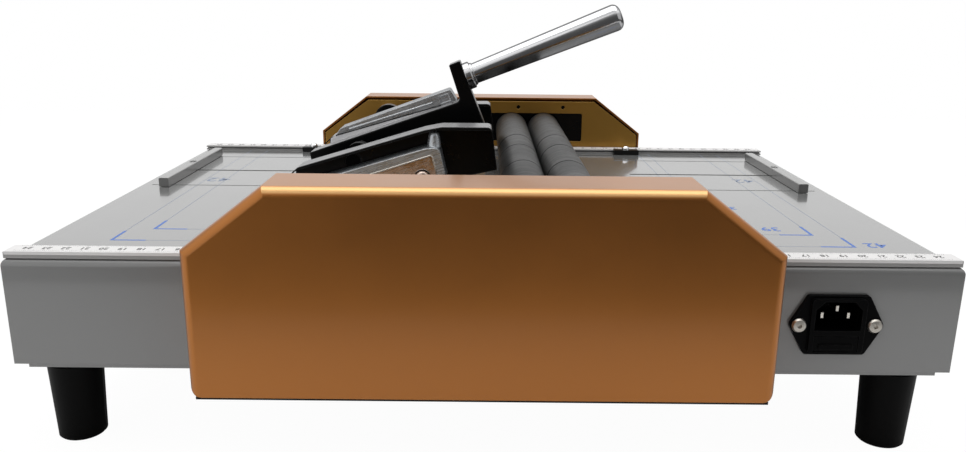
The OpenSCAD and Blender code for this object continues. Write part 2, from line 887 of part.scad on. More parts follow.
// Wall of a bracket: long slope, short flat top, rounded corner, lower edge rising to the nose
bracket_points = [[-124, 7], [-96, 7], [-58, 9.5], [8.6, 24.6], [4.6, bracket_rise],
    [-27, bracket_rise], [-38, bracket_rise - 2.2], [-119, 28.2], [-124, 23.6]];
bracket_radii = [2, 8, 6, 1, 3, 14, 14, 3, 1];

module bracket_outline() {
    polygon(rounded(bracket_points, bracket_radii));
}

module bracket(y0, notch) {
    wall = y0 + bracket_w - bracket_t;
    color(black) difference() {
        union() {
            table_y(wall, wall + bracket_t) bracket_outline();
            table_y(y0, wall + 1) difference() {
                bracket_outline();
                for (dx = [-1, 1]) translate([dx, -bracket_t]) bracket_outline();
            }
        }
        rod(lever_axis, lever_shaft_r, wall - 1, wall + bracket_t + 1);
        rod(stapler_axis, stapler_shaft_r, wall - 1, wall + bracket_t + 1);
        if (notch) table_y(wall - 1, wall + bracket_t + 1) polygon(rounded(
            box_outline(rivet_at.x - 3.2, 0, rivet_at.x + 3.8, rivet_at.y + 3.1), [0, 0, 3, 3]));
    }
}

module near_bracket() {
    bracket(near_bracket_y, true);
}

module far_bracket() {
    bracket(far_bracket_y, false);
}

module lever_shaft() {
    collar = spring_from - spring_leg;
    color([0.2, 0.2, 0.2]) {
        rod(lever_axis, lever_shaft_r, near_wall_y, half_d + plate_t);
        rod(lever_axis, spring_r + 2, collar - 5, collar);
    }
}

module stapler_shaft() {
    color([0.2, 0.2, 0.2]) rod(stapler_axis, stapler_shaft_r, -half_d - plate_t, half_d + plate_t);
}

module shaft_bosses() {
    color(black) table_y(half_d - boss_h, half_d) difference() {
        translate(lever_axis) circle(boss_r);
        translate(lever_axis) circle(lever_shaft_r);
    }
    color(black) both_sides() table_y(half_d - boss_h + 3, half_d) difference() {
        translate(stapler_axis) circle(7);
        translate(stapler_axis) circle(stapler_shaft_r);
    }
}

// Clinching plates let into the table, each with two shallow pockets for the staple's legs
module anvil_plates() {
    color(silver) for (y = [near_stapler_y, far_stapler_y]) difference() {
        anvil_seat(y + cap_w / 2, 0);
        for (dx = [-4, 4]) translate([head_x + dx, y + cap_w / 2, table_z + 3.2]) rotate([90, 0, 0])
            cylinder(h = 2.4, r = 4, center = true);
    }
}

cap_points = [[-118.5, 8], [-113, 6.6], [-25.5, 19.5], [-24, 23], [-28.4, 42.6], [-38, 41.6],
    [-118.5, 17.1]];
cap_radii = [4, 4, 1, 1, 4, 6, 4];

module cap_outline() {
    polygon(rounded(cap_points, cap_radii));
}

// What is cut from the cap's cheeks, so that they are a strip with a leg at the front
module cheek_opening() {
    polygon(rounded([[-100, 0], [-100, 15.3], [-33.1, 37.2], [-28.5, 20], [-28.5, 0]],
        [0, 2, 1, 0, 0]));
}

// Plated channel over the magazine, with its pivot and driver post
module stapler_cap(y0) {
    color(zinc) difference() {
        table_y(y0, y0 + cap_w) cap_outline();
        table_y(y0 + cap_t, y0 + cap_w - cap_t) {
            translate([-cap_t, -cap_t * 1.1]) cap_outline();
            translate([-cap_t, -12]) cap_outline();
            polygon(box_outline(-121, 0, -108, 14));
        }
        table_y(y0 - 1, y0 + cap_w + 1) cheek_opening();
        rod(stapler_axis, stapler_shaft_r + fit_gap, y0 - 2, y0 + cap_w + 2);
    }
    color(zinc) translate([-32, y0 + cap_w / 2, table_z + 41.4]) rotate_extrude() polygon(
        [[0, 0], [4.6, 0], [3.5, 8], [3, 9.4], [1.5, 10.2], [0, 10.2]]);
}

magazine_points = [[-106, 9.5], [-34, 17.5], [-31, 16], [-26.9, 16], [-26.9, 20], [-31.2, 38.8],
    [-37, 38.6], [-106, 17]];
staple_room = [[-107, 12], [-46, 20.5], [-46, 26], [-107, 15]];

// Magazine between the cap's cheeks, its rivet, and the push rod that the lever's bar presses
module stapler_magazine(y0, push_from, push_to) {
    edge = y0 + cap_t;
    color(silver) difference() {
        union() {
            table_y(edge, edge + magazine_w) polygon(magazine_points);
            rod(rivet_at, 5.2, edge - 0.5, edge + magazine_w + 0.5);
            rod(rivet_at, 3.9, edge - 1.5, edge + magazine_w + 1.5);
            rod(rivet_at, push_r, push_from, push_to);
        }
        table_y(edge + magazine_wall, edge + magazine_w - magazine_wall) polygon(staple_room);
    }
}

module near_stapler_cap() {
    stapler_cap(near_stapler_y);
}

module near_stapler_magazine() {
    side = near_stapler_y + cap_w;
    stapler_magazine(near_stapler_y, side - 2 * cap_t, side + push_l);
}

// Room for the lever's shaft over the far stapler
module shaft_room() {
    rod(lever_axis, lever_shaft_r + 0.5, far_stapler_y - 2, far_stapler_y + cap_w + 2);
}

module far_stapler_cap() {
    color(zinc) difference() {
        stapler_cap(far_stapler_y);
        shaft_room();
    }
}

module far_stapler_magazine() {
    side = far_stapler_y;
    color(silver) difference() {
        stapler_magazine(far_stapler_y, side - push_l, side + 2 * cap_t);
        shaft_room();
    }
}

// LEVER

arm_start = [-124, 26.6];
arm_knee = arm_start + 113.4 * [cos(lever_slope), sin(lever_slope)];
mast_slope = handle_slope - 90;
mast_top = [-17.5, 91.8];
mast_end = mast_top + 48 * [cos(mast_slope), sin(mast_slope)];
arm_points = [[-122.5, 19.5], arm_start, arm_knee, [-25, 88.7], mast_top, mast_end, [-4, 39],
    [-28, 37], [-33, 25], [-37, 22.5], [-43, 22.5], [-48, 25], [-54, 35], [-74, 18], [-96, 18],
    [-102, 24]];
arm_radii = [2, 1, 3, 0.8, 0.8, 1, 4, 4, 2, 3, 3, 2, 4, 9, 9, 4];

// The plated channel's cheek as it shows over the arm
channel_points = [[-104.2, 41.8], [-25, 70.5], [-20, 62.4], [-24, 52], [-99.7, 27.7],
    [-108.4, 36.2]];
channel_radii = [1.5, 2, 1, 2, 2, 1];

// Upstand of the arm's far cheek, its top edge along the channel
upstand_points = [[-112, 28], [-111, 34.8], channel_points[5], [-30, 59.4], [-30, 56], [-100, 28]];

module arm_outline() {
    polygon(rounded(arm_points, arm_radii));
}

// Folded arm: two cheeks under a web, and the mast that carries the handle
module lever_arm() {
    rib = 2.2;
    far_cheek = arm_y + arm_w - arm_t;
    color(black) difference() {
        union() {
            table_y(arm_y, arm_y + arm_w) arm_outline();
            table_y(far_cheek, arm_y + arm_w) polygon(upstand_points);
        }
        table_y(arm_y + arm_t, far_cheek) {
            translate([-rib, -rib * 1.1]) arm_outline();
            translate([-rib - 1, -10]) arm_outline();
        }
        rod(lever_axis, lever_shaft_r + fit_gap, arm_y - 1, arm_y + arm_w + 1);
        rod(bar_place, bar_r, arm_y - 1, arm_y + arm_w + 1);
    }
}

module channel_outline() {
    polygon(rounded(channel_points, channel_radii));
}

// Plated channel riveted along the far cheek of the arm, with a collar round the shaft
module lever_channel() {
    y0 = arm_y + arm_w;
    wall = 1.5;
    color(zinc) difference() {
        union() {
            table_y(y0, y0 + channel_w) channel_outline();
            rod(lever_axis, lever_shaft_r + 3.5, y0, y0 + 3);
        }
        table_y(y0 + wall, y0 + channel_w - wall) {
            translate([-1.6, -1.8]) channel_outline();
            translate([-3, -9]) channel_outline();
        }
        rod(lever_axis, lever_shaft_r + fit_gap, y0 - 1, y0 + channel_w + 1);
    }
}

// Bar across the machine that lies on both staplers' push rods
module press_bar() {
    color(black) rod(bar_place, bar_r, near_wall_y + bracket_t + 0.5, far_stapler_y - 0.8);
}

handle_y = arm_y + arm_w / 2;
handle_foot = mast_top + 12.3 * [cos(mast_slope), sin(mast_slope)];

// Puts its child's Z axis along the handle, starting at the mast
module on_handle() {
    translate([handle_foot.x, handle_y, table_z + handle_foot.y])
        rotate([0, 90 - handle_slope, 0]) children();
}

module handle_collar() {
    color(silver) on_handle() rotate_extrude() polygon([[0, 0], [collar_r, 0],
        [collar_r, collar_l - 2], [collar_r - 0.6, collar_l - 1.4], [handle_r0 + 0.8, collar_l - 1.4],
        [handle_r0 + 0.8, collar_l], [0, collar_l]]);
}

module handle() {
    tip = 5;
    end = collar_l + handle_l;
    arc = [for (a = [0 : 15 : 90]) [handle_r1 - tip + tip * cos(a), end - tip + tip * sin(a)]];
    color(silver) on_handle() rotate_extrude() polygon(concat([[0, collar_l],
        [handle_r0, collar_l]], arc, [[0, end]]));
}

spring_turns = 5;
spring_r = 6.6;
spring_wire = 0.9;
spring_pitch = 2.4;
spring_rings = 8;
spring_leg = 2 * spring_wire;
spring_from = arm_y - 0.4 - spring_leg - spring_turns * spring_pitch - spring_wire;
spring_end = spring_turns * spring_rings;

// The wire's path: place, outward direction and heading at ring i
function spring_out(i) = let (a = 360 * i / spring_rings) [cos(a), 0, sin(a)];
function spring_head(i) = let (a = 360 * i / spring_rings) [-sin(a), 0, cos(a)];
function spring_place(i) = spring_r * spring_out(i) + [0, spring_pitch * i / spring_rings, 0];
function wire_ring(p, out, head, wide = 1) = let (side = cross(head, out) * wide)
    [for (k = [0 : 5]) p + spring_wire * (out * cos(60 * k) + side * sin(60 * k))];
function bend_ring(i) = wire_ring(spring_place(i), spring_out(i),
    unit(spring_head(i) + [0, 1, 0]), sqrt(2));
function leg_ring(i, dy) = wire_ring(spring_place(i) + [0, dy, 0], spring_out(i), [0, 1, 0]);

// Return spring wound round the lever's shaft, one unbroken wire with a straight leg at each end
module lever_spring() {
    coil = [for (i = [1 : spring_end - 1]) wire_ring(spring_place(i), spring_out(i), spring_head(i))];
    rings = concat([leg_ring(0, -spring_leg), bend_ring(0)], coil,
        [bend_ring(spring_end), leg_ring(spring_end, spring_leg)]);
    n = len(rings) - 1;
    walls = [for (i = [0 : n - 1], k = [0 : 5]) let (a = 6 * i + k, b = 6 * i + (k + 1) % 6)
        each [[a, b, b + 6], [a, b + 6, a + 6]]];
    color(silver) translate([lever_axis.x, spring_from, table_z + lever_axis.y]) polyhedron(
        [for (r = rings) each r], concat(walls, [[5, 4, 3, 2, 1, 0]], [[for (k = [0 : 5]) 6 * n + k]]));
}

// Least gap between one turn and the next, measured on the wire's centre points
echo(spring_gap = min([for (i = [1 : spring_rings]) norm(spring_place(i + spring_rings)
    - spring_place(i))]) - 2 * spring_wire);

body_shell();
base_plate();
feet();
foot_screws();
near_side_plate();
far_side_plate();
near_cover();
far_cover();
cover_bases();
near_bearing_plate();
far_bearing_plate();
roller_bearings();
near_ruler_rail();
far_ruler_rail();
ruler_tapes();
inlet_socket();
inlet_pins();
inlet_screws();
fuse_drawer();
near_bracket();
far_bracket();
lever_shaft();
stapler_shaft();
shaft_bosses();
anvil_plates();
left_stop();
right_stop();
knife_guides();
knife_blade();
knife_carriage();
knife_cam();
knife_motor();
drive_motor();
motor_pinion();
idler_gear();
idler_pin();
left_roller_shaft();
left_roller_rubber();
left_roller_gear();
right_roller_shaft();
right_roller_rubber();
right_roller_gear();
control_board();
switch_frame();
switch_rocker();
button_bezel();
start_button();
left_lay_clamp();
right_lay_clamp();
lever_arm();
lever_channel();
lever_spring();
press_bar();
handle_collar();
handle();
near_stapler_cap();
near_stapler_magazine();
far_stapler_cap();
far_stapler_magazine();
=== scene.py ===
# %% [markdown]
# A booklet maker, dressed for its portrait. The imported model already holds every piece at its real
# size, so this script adds what a solid can't hold: paint, plating, rubber, printed rulers, paper
# marks and small fasteners. Everything is in metres, and Z is 0 on the floor under the feet.

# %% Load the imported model
import bpy
import json
import math
from mathutils import Matrix, Vector


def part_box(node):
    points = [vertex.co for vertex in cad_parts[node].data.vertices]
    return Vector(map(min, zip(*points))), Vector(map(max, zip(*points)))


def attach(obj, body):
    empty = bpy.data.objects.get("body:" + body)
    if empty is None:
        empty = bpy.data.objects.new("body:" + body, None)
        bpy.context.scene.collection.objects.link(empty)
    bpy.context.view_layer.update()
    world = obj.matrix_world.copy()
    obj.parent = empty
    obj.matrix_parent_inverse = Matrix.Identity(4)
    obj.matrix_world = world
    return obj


MM = 0.001
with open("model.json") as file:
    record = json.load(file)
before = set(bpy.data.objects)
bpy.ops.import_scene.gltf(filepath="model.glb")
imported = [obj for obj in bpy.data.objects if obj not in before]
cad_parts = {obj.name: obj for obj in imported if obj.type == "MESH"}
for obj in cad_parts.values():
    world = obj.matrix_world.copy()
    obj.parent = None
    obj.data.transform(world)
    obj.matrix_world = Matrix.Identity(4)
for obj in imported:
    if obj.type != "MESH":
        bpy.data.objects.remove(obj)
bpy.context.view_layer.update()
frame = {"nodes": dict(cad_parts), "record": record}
bpy.ops.object.select_all(action="DESELECT")

# %% [markdown]
# The camera stands on the machine's inlet side, level with the top of the handle, and looks
# slightly down. A camera could be aimed with a Track To constraint. Here its three axes are written
# out from pitch, yaw and roll, because a hand-held photograph is never quite level.

# %% Camera
PHOTO_WIDTH = 966
LENS_PIXELS = 840.2
SENSOR_WIDTH = 36
CAMERA_PLACE = (-0.00084, -0.59038, 0.24354)
PITCH, YAW, ROLL = math.radians(14.958), math.radians(0.0617), math.radians(0.5805)
forward = Vector((math.sin(YAW) * math.cos(PITCH), math.cos(YAW) * math.cos(PITCH), -math.sin(PITCH)))
level = Vector((math.cos(YAW), -math.sin(YAW), 0))
upright = level.cross(forward)
right = math.cos(ROLL) * level + math.sin(ROLL) * upright
above = -math.sin(ROLL) * level + math.cos(ROLL) * upright

camera_data = bpy.data.cameras.new("photo_camera")
camera_data.sensor_width = SENSOR_WIDTH
camera_data.lens = SENSOR_WIDTH * LENS_PIXELS / PHOTO_WIDTH
camera_data.clip_start = 0.02
camera = bpy.data.objects.new("photo_camera", camera_data)
bpy.context.scene.collection.objects.link(camera)
turn = Matrix((right, above, -forward)).transposed().to_4x4()
camera.matrix_world = Matrix.Translation(CAMERA_PLACE) @ turn
bpy.context.scene.camera = camera
print("lens is", round(camera_data.lens, 2), "mm")

# %% [markdown]
# Light and finishes are both made of nodes. A node is usually added, set and linked in separate
# lines. One helper does all three, so that each later line reads as one step of a recipe.

# %% Helper for nodes


def add(tree, kind, links=(), values=(), **properties):
    """A node with its properties, its input values and what is linked into its inputs."""
    node = tree.nodes.new(kind)
    for name, value in properties.items():
        setattr(node, name, value)
    for key, value in dict(values).items():
        node.inputs[key].default_value = value
    for key, source in dict(links).items():
        tree.links.new(source, node.inputs[key])
    return node


# %% [markdown]
# Studio light for painted metal is a set of large soft sources: one above, one from each side.
# To the camera the world is plain white. Reflections see a white room that is dark behind the
# camera, darker to the left and right and slightly darker along the horizon, which gives the front
# faces, the bends and the chrome their depth. All other light comes from a dimmer copy of it.

# %% World
ROOM_DARK = 0.14
FILL = 0.45
HEIGHT_LEAN, SIDE_LEAN = 1.15, -1.3
DARK_END, WHITE_START = -0.62, 0.10
HORIZON, CLEAR_HEIGHT = 0.72, 0.42
scene = bpy.context.scene
scene.view_settings.view_transform = "Standard"
world = bpy.data.worlds.new("studio")
scene.world = world
world.use_nodes = True
sky = world.node_tree
sky.nodes.clear()
around = add(sky, "ShaderNodeTexCoord")
split = add(sky, "ShaderNodeSeparateXYZ", {0: around.outputs["Generated"]})
lean = add(sky, "ShaderNodeMath", {0: split.outputs["Z"], 2: split.outputs["Y"]}, {1: HEIGHT_LEAN},
           operation="MULTIPLY_ADD")
sideways = add(sky, "ShaderNodeMath", {0: split.outputs["X"]}, operation="ABSOLUTE")
aside = add(sky, "ShaderNodeMath", {0: sideways.outputs[0], 2: lean.outputs[0]}, {1: SIDE_LEAN},
            operation="MULTIPLY_ADD")
ramp = add(sky, "ShaderNodeMapRange", {"Value": aside.outputs[0]},
           {"From Min": DARK_END, "From Max": WHITE_START, "To Min": ROOM_DARK, "To Max": 1.0},
           interpolation_type="SMOOTHSTEP")
low_sky = add(sky, "ShaderNodeMapRange", {"Value": split.outputs["Z"]},
              {"From Max": CLEAR_HEIGHT, "To Min": HORIZON}, interpolation_type="SMOOTHSTEP")
room = add(sky, "ShaderNodeMath", {0: ramp.outputs["Result"], 1: low_sky.outputs["Result"]},
           operation="MULTIPLY")
dim = add(sky, "ShaderNodeMath", {0: ramp.outputs["Result"]}, {1: FILL}, operation="MULTIPLY")
path = add(sky, "ShaderNodeLightPath")
mirrored = add(sky, "ShaderNodeMath", {
    0: path.outputs["Is Glossy Ray"], 1: path.outputs["Is Transmission Ray"]}, operation="MAXIMUM")
sky_strength = add(sky, "ShaderNodeMix", {
    "Factor": mirrored.outputs[0], "A": dim.outputs[0], "B": room.outputs[0]}, data_type="FLOAT")
camera_strength = add(sky, "ShaderNodeMix", {
    "Factor": path.outputs["Is Camera Ray"], "A": sky_strength.outputs["Result"]}, {"B": 1.0},
    data_type="FLOAT")
background = add(sky, "ShaderNodeBackground", {"Strength": camera_strength.outputs["Result"]},
                 {"Color": (1, 1, 1, 1)})
add(sky, "ShaderNodeOutputWorld", {"Surface": background.outputs[0]})
print("world has", len(sky.nodes), "nodes")

# %% Lamps
MACHINE_MIDDLE = Vector((0, 0, 0.1))


def soft_light(name, place, size, watts):
    """A square area light of the given size that faces the machine's middle."""
    data = bpy.data.lights.new(name, "AREA")
    data.size = size
    data.energy = watts
    lamp = bpy.data.objects.new(name, data)
    scene.collection.objects.link(lamp)
    lamp.location = place
    lamp.rotation_euler = (MACHINE_MIDDLE - Vector(place)).to_track_quat("-Z", "Y").to_euler()


soft_light("top_light", (0, 0.25, 1.9), 1.8, 21)
soft_light("left_light", (-1.5, -1.0, 0.8), 2.8, 20)
soft_light("right_light", (1.6, -0.7, 1.1), 2.0, 7)

# %% [markdown]
# The floor is a table top that ends a quarter of a metre in front of the machine. The front faces
# mirror it low down and the dark room higher up, which shades them from top to bottom as in a
# real studio. Its material is nearly white to the camera, and still keeps a faint shadow.

# %% Floor
FLOOR_SIZE = (2.2, 1.74, 1)
FLOOR_MIDDLE = (0, 0.41, -0.0002)
WHITE_SHARE, GLOW = 0.94, 1.03
bpy.ops.mesh.primitive_plane_add(size=1, location=(0, 0, 0))
floor = bpy.context.object
floor.name = "studio_floor"
floor.scale = FLOOR_SIZE
floor.location = FLOOR_MIDDLE
bpy.ops.object.transform_apply(location=True, rotation=False, scale=True)
floor_paint = bpy.data.materials.new("studio_floor")
floor_paint.use_nodes = True
floor_tree = floor_paint.node_tree
floor_shader = floor_tree.nodes["Principled BSDF"]
floor_shader.inputs["Base Color"].default_value = (0.86, 0.86, 0.86, 1)
floor_shader.inputs["Roughness"].default_value = 0.9
floor_shader.inputs["Specular IOR Level"].default_value = 0
floor_path = add(floor_tree, "ShaderNodeLightPath")
floor_share = add(floor_tree, "ShaderNodeMath", {0: floor_path.outputs["Is Camera Ray"]},
                  {1: WHITE_SHARE}, operation="MULTIPLY")
floor_glow = add(floor_tree, "ShaderNodeEmission", values={"Strength": GLOW})
floor_mix = add(floor_tree, "ShaderNodeMixShader", {
    0: floor_share.outputs[0], 1: floor_shader.outputs[0], 2: floor_glow.outputs[0]})
floor_tree.links.new(floor_mix.outputs[0], floor_tree.nodes["Material Output"].inputs["Surface"])
floor.data.materials.append(floor_paint)
bpy.ops.object.select_all(action="DESELECT")
print("floor is", [round(v, 2) for v in floor.dimensions], "metres")

# %% [markdown]
# Two effects come back in almost every finish. Real edges catch the light, because paint is thin
# and steel is rubbed bright there. Real surfaces are never evenly smooth. Each effect is one node
# group with its own knobs, so a material only says how much of it it wants. Three more groups serve
# single finishes: fine lines, a band across an axis and the faces that look up.

# %% Helpers for node groups


def new_group(name, inputs, outputs):
    """A shader node group with float inputs and the given outputs, and its two end nodes."""
    tree = bpy.data.node_groups.new(name, "ShaderNodeTree")
    for label, value in inputs.items():
        socket = tree.interface.new_socket(label, in_out="INPUT", socket_type="NodeSocketFloat")
        socket.default_value = value
    for label in outputs:
        tree.interface.new_socket(label, in_out="OUTPUT", socket_type="NodeSocketFloat")
    return tree, tree.nodes.new("NodeGroupInput"), tree.nodes.new("NodeGroupOutput")


def axes(tree, kind):
    """X, Y and Z of a Texture Coordinate output: Object for places, Normal for directions."""
    place = add(tree, "ShaderNodeTexCoord")
    return add(tree, "ShaderNodeSeparateXYZ", {0: place.outputs[kind]}).outputs


# %% Edge wear group
edge_tree, edge_in, edge_out = new_group("edge wear", {"Width": 0.0006, "Breaks": 260.0}, ["Edge"])
rounded = add(edge_tree, "ShaderNodeBevel", {"Radius": edge_in.outputs["Width"]}, samples=4)
flat = add(edge_tree, "ShaderNodeNewGeometry")
facing = add(edge_tree, "ShaderNodeVectorMath", {0: rounded.outputs[0], 1: flat.outputs["Normal"]},
             operation="DOT_PRODUCT")
away = add(edge_tree, "ShaderNodeMapRange", {"Value": facing.outputs["Value"]},
           {"From Min": 0.995, "From Max": 0.90})
where = add(edge_tree, "ShaderNodeTexCoord")
breaks = add(edge_tree, "ShaderNodeTexNoise",
             {"Vector": where.outputs["Object"], "Scale": edge_in.outputs["Breaks"]}, {"Detail": 3})
uneven = add(edge_tree, "ShaderNodeMapRange", {"Value": breaks.outputs["Fac"]},
             {"From Min": 0.35, "From Max": 0.62, "To Min": 0.35})
edge_mask = add(edge_tree, "ShaderNodeMath", {0: away.outputs["Result"], 1: uneven.outputs["Result"]},
                operation="MULTIPLY", use_clamp=True)
edge_tree.links.new(edge_mask.outputs[0], edge_out.inputs["Edge"])

# %% Uneven surface group
skin_tree, skin_in, skin_out = new_group(
    "uneven surface", {"Cloud Scale": 14.0, "Grain Scale": 900.0}, ["Cloud", "Grain"])
skin_place = add(skin_tree, "ShaderNodeTexCoord")
cloud = add(skin_tree, "ShaderNodeTexNoise",
            {"Vector": skin_place.outputs["Object"], "Scale": skin_in.outputs["Cloud Scale"]},
            {"Detail": 5, "Roughness": 0.6})
grain = add(skin_tree, "ShaderNodeTexNoise",
            {"Vector": skin_place.outputs["Object"], "Scale": skin_in.outputs["Grain Scale"]},
            {"Detail": 2, "Roughness": 0.5})
skin_tree.links.new(cloud.outputs["Fac"], skin_out.inputs["Cloud"])
skin_tree.links.new(grain.outputs["Fac"], skin_out.inputs["Grain"])

# %% Directional lines group
line_tree, line_in, line_out = new_group(
    "fine lines", {"X Scale": 40.0, "Y Scale": 40.0, "Z Scale": 2600.0, "Turn": 0.0}, ["Line"])
line_place = add(line_tree, "ShaderNodeTexCoord")
line_turn = add(line_tree, "ShaderNodeVectorRotate", {
    "Vector": line_place.outputs["Object"], "Angle": line_in.outputs["Turn"]},
    rotation_type="Y_AXIS")
line_stretch = add(line_tree, "ShaderNodeCombineXYZ", {
    "X": line_in.outputs["X Scale"], "Y": line_in.outputs["Y Scale"], "Z": line_in.outputs["Z Scale"]})
stretched = add(line_tree, "ShaderNodeVectorMath",
                {0: line_turn.outputs[0], 1: line_stretch.outputs[0]}, operation="MULTIPLY")
line_noise = add(line_tree, "ShaderNodeTexNoise", {"Vector": stretched.outputs[0]},
                 {"Scale": 1.0, "Detail": 3, "Roughness": 0.55})
line_tree.links.new(line_noise.outputs["Fac"], line_out.inputs["Line"])

# %% Band group
band_tree, band_in, band_out = new_group(
    "band across an axis", {"Along": 0.0, "Place": 0.0, "Half Width": 0.001, "Soft": 0.0002}, ["Band"])
off = add(band_tree, "ShaderNodeMath", {0: band_in.outputs["Along"], 1: band_in.outputs["Place"]},
          operation="SUBTRACT")
reach = add(band_tree, "ShaderNodeMath", {0: off.outputs[0]}, operation="ABSOLUTE")
outer = add(band_tree, "ShaderNodeMath",
            {0: band_in.outputs["Half Width"], 1: band_in.outputs["Soft"]}, operation="ADD")
band = add(band_tree, "ShaderNodeMapRange", {
    "Value": reach.outputs[0], "From Min": band_in.outputs["Half Width"],
    "From Max": outer.outputs[0]}, {"To Min": 1.0, "To Max": 0.0})
band_tree.links.new(band.outputs["Result"], band_out.inputs["Band"])

# %% Upward faces group
# A mask of the faces that look up. Finishes lay a paler colour on it as a painted highlight.
up_tree, up_in, up_out = new_group("upward faces", {"From": 0.5, "To": 0.95}, ["Up"])
up = add(up_tree, "ShaderNodeMapRange", {
    "Value": axes(up_tree, "Normal")["Z"], "From Min": up_in.outputs["From"],
    "From Max": up_in.outputs["To"]})
up_tree.links.new(up.outputs["Result"], up_out.inputs["Up"])
print("groups:", [g.name for g in bpy.data.node_groups])

# %% [markdown]
# Every finish is built by one function from the same layers: a base colour that drifts a little,
# an edge colour, a roughness that varies in clouds, and a bump from grain or fine lines. A sheet's
# bend is never quite sharp, and a solid's edge is, so a Bevel node rounds the shading alone and
# lets each edge catch a line of light. What makes enamel, copper paint, zinc and rubber differ is
# only the numbers.

# %% Layers of a finish
# dark bands of painted shade in a roller's grooves: half width, share and colour
GROOVE_SHADE_HALF, GROOVE_SHADE_SHARE = 0.0013, 0.9
GROOVE_SHADE_COLOUR = (0.004, 0.004, 0.004)


def layer(tree, colour, mask, over):
    """The colour socket with another colour laid over it where the mask is 1."""
    node = add(tree, "ShaderNodeMix", {"Factor": mask, "A": colour}, {"B": (*over, 1)},
               data_type="RGBA")
    return node.outputs["Result"]


def scaled(tree, socket, factor):
    """The value socket times a number."""
    return add(tree, "ShaderNodeMath", {0: socket}, {1: factor}, operation="MULTIPLY").outputs[0]


def masked_band(tree, along, place, half, soft=0.0002):
    """A mask that is 1 within half of a place along an axis."""
    return add(tree, "ShaderNodeGroup", {"Along": along},
               {"Place": place, "Half Width": half, "Soft": soft}, node_tree=band_tree).outputs["Band"]


def rough_and_height(tree, skin, rough, rough_drift, lines, turn):
    """The sockets for Roughness and for the bump's height, from clouds and grain or lines."""
    vary = add(tree, "ShaderNodeMapRange", {"Value": skin.outputs["Cloud"]},
               {"From Min": 0.3, "From Max": 0.7, "To Min": rough * (1 - rough_drift),
                "To Max": rough * (1 + rough_drift)})
    if not lines:
        return vary.outputs["Result"], skin.outputs["Grain"]
    scales = dict(zip(("X Scale", "Y Scale", "Z Scale"), lines))
    drawn = add(tree, "ShaderNodeGroup", values=scales | {"Turn": turn}, node_tree=line_tree)
    streak = add(tree, "ShaderNodeMath", {0: drawn.outputs["Line"], 1: vary.outputs["Result"]},
                 operation="MULTIPLY")
    return scaled(tree, streak.outputs[0], 2.0), drawn.outputs["Line"]


# %% Finish builder


def finish(name, colour, rough, metal=0.0, specular=0.5, ior=1.5, rim=1.0, coat=0.0, coat_rough=0.1,
           drift=0.06, rough_drift=0.08, cloud_scale=14.0, grain_scale=900.0, bump=0.0, corner=0.0,
           lines=None, turn=0.0, edge=None, edge_share=0.5, edge_width=0.0006, painted_top_light=None, groove_shade_places=()):
    """A Principled material. colour is linear, rim darkens a metal's grazing reflection, drift
    and rough_drift are how much colour and roughness vary, corner is the radius of the rounded
    shading, lines are X, Y and Z scales and turn slopes them about Y, edge is the worn colour,
    the next is a paler colour painted as a highlight on faces that look up, and the last are
    places along Y with dark bands of painted shade in a roller's grooves."""
    material = bpy.data.materials.new(name)
    material.use_nodes = True
    tree = material.node_tree
    shader = tree.nodes["Principled BSDF"]
    constants = {"Metallic": metal, "IOR": ior, "Coat Weight": coat, "Coat Roughness": coat_rough,
                 "Specular IOR Level": specular, "Specular Tint": (rim, rim, rim, 1)}
    for label, value in constants.items():
        shader.inputs[label].default_value = value
    skin = add(tree, "ShaderNodeGroup", values={"Cloud Scale": cloud_scale, "Grain Scale": grain_scale},
               node_tree=skin_tree)
    paint = add(tree, "ShaderNodeMix", {"Factor": skin.outputs["Cloud"]}, {
        "A": [c * (1 - drift) for c in colour] + [1],
        "B": [min(1, c * (1 + drift)) for c in colour] + [1]}, data_type="RGBA").outputs["Result"]
    # painted highlight: a paler colour on the faces that look up
    if painted_top_light is not None:
        upward = add(tree, "ShaderNodeGroup", node_tree=up_tree)
        paint = layer(tree, paint, upward.outputs["Up"], painted_top_light)
    if edge is not None:
        wear = add(tree, "ShaderNodeGroup", values={"Width": edge_width}, node_tree=edge_tree)
        paint = layer(tree, paint, scaled(tree, wear.outputs["Edge"], edge_share), edge)
    # painted shade: dark bands at places along Y, where a roller's grooves lie in shade
    along = axes(tree, "Object")["Y"] if groove_shade_places else None
    for y in groove_shade_places:
        ring = masked_band(tree, along, y, GROOVE_SHADE_HALF)
        paint = layer(tree, paint, scaled(tree, ring, GROOVE_SHADE_SHARE), GROOVE_SHADE_COLOUR)
    tree.links.new(paint, shader.inputs["Base Color"])
    roughness, height = rough_and_height(tree, skin, rough, rough_drift, lines, turn)
    tree.links.new(roughness, shader.inputs["Roughness"])
    normal = None
    if corner:
        normal = add(tree, "ShaderNodeBevel", values={"Radius": corner}, samples=6).outputs[0]
    if bump:
        under = {"Normal": normal} if normal else {}
        normal = add(tree, "ShaderNodeBump", {"Height": height} | under,
                     {"Strength": 0.6, "Distance": bump}).outputs[0]
    if normal:
        tree.links.new(normal, shader.inputs["Normal"])
    return material
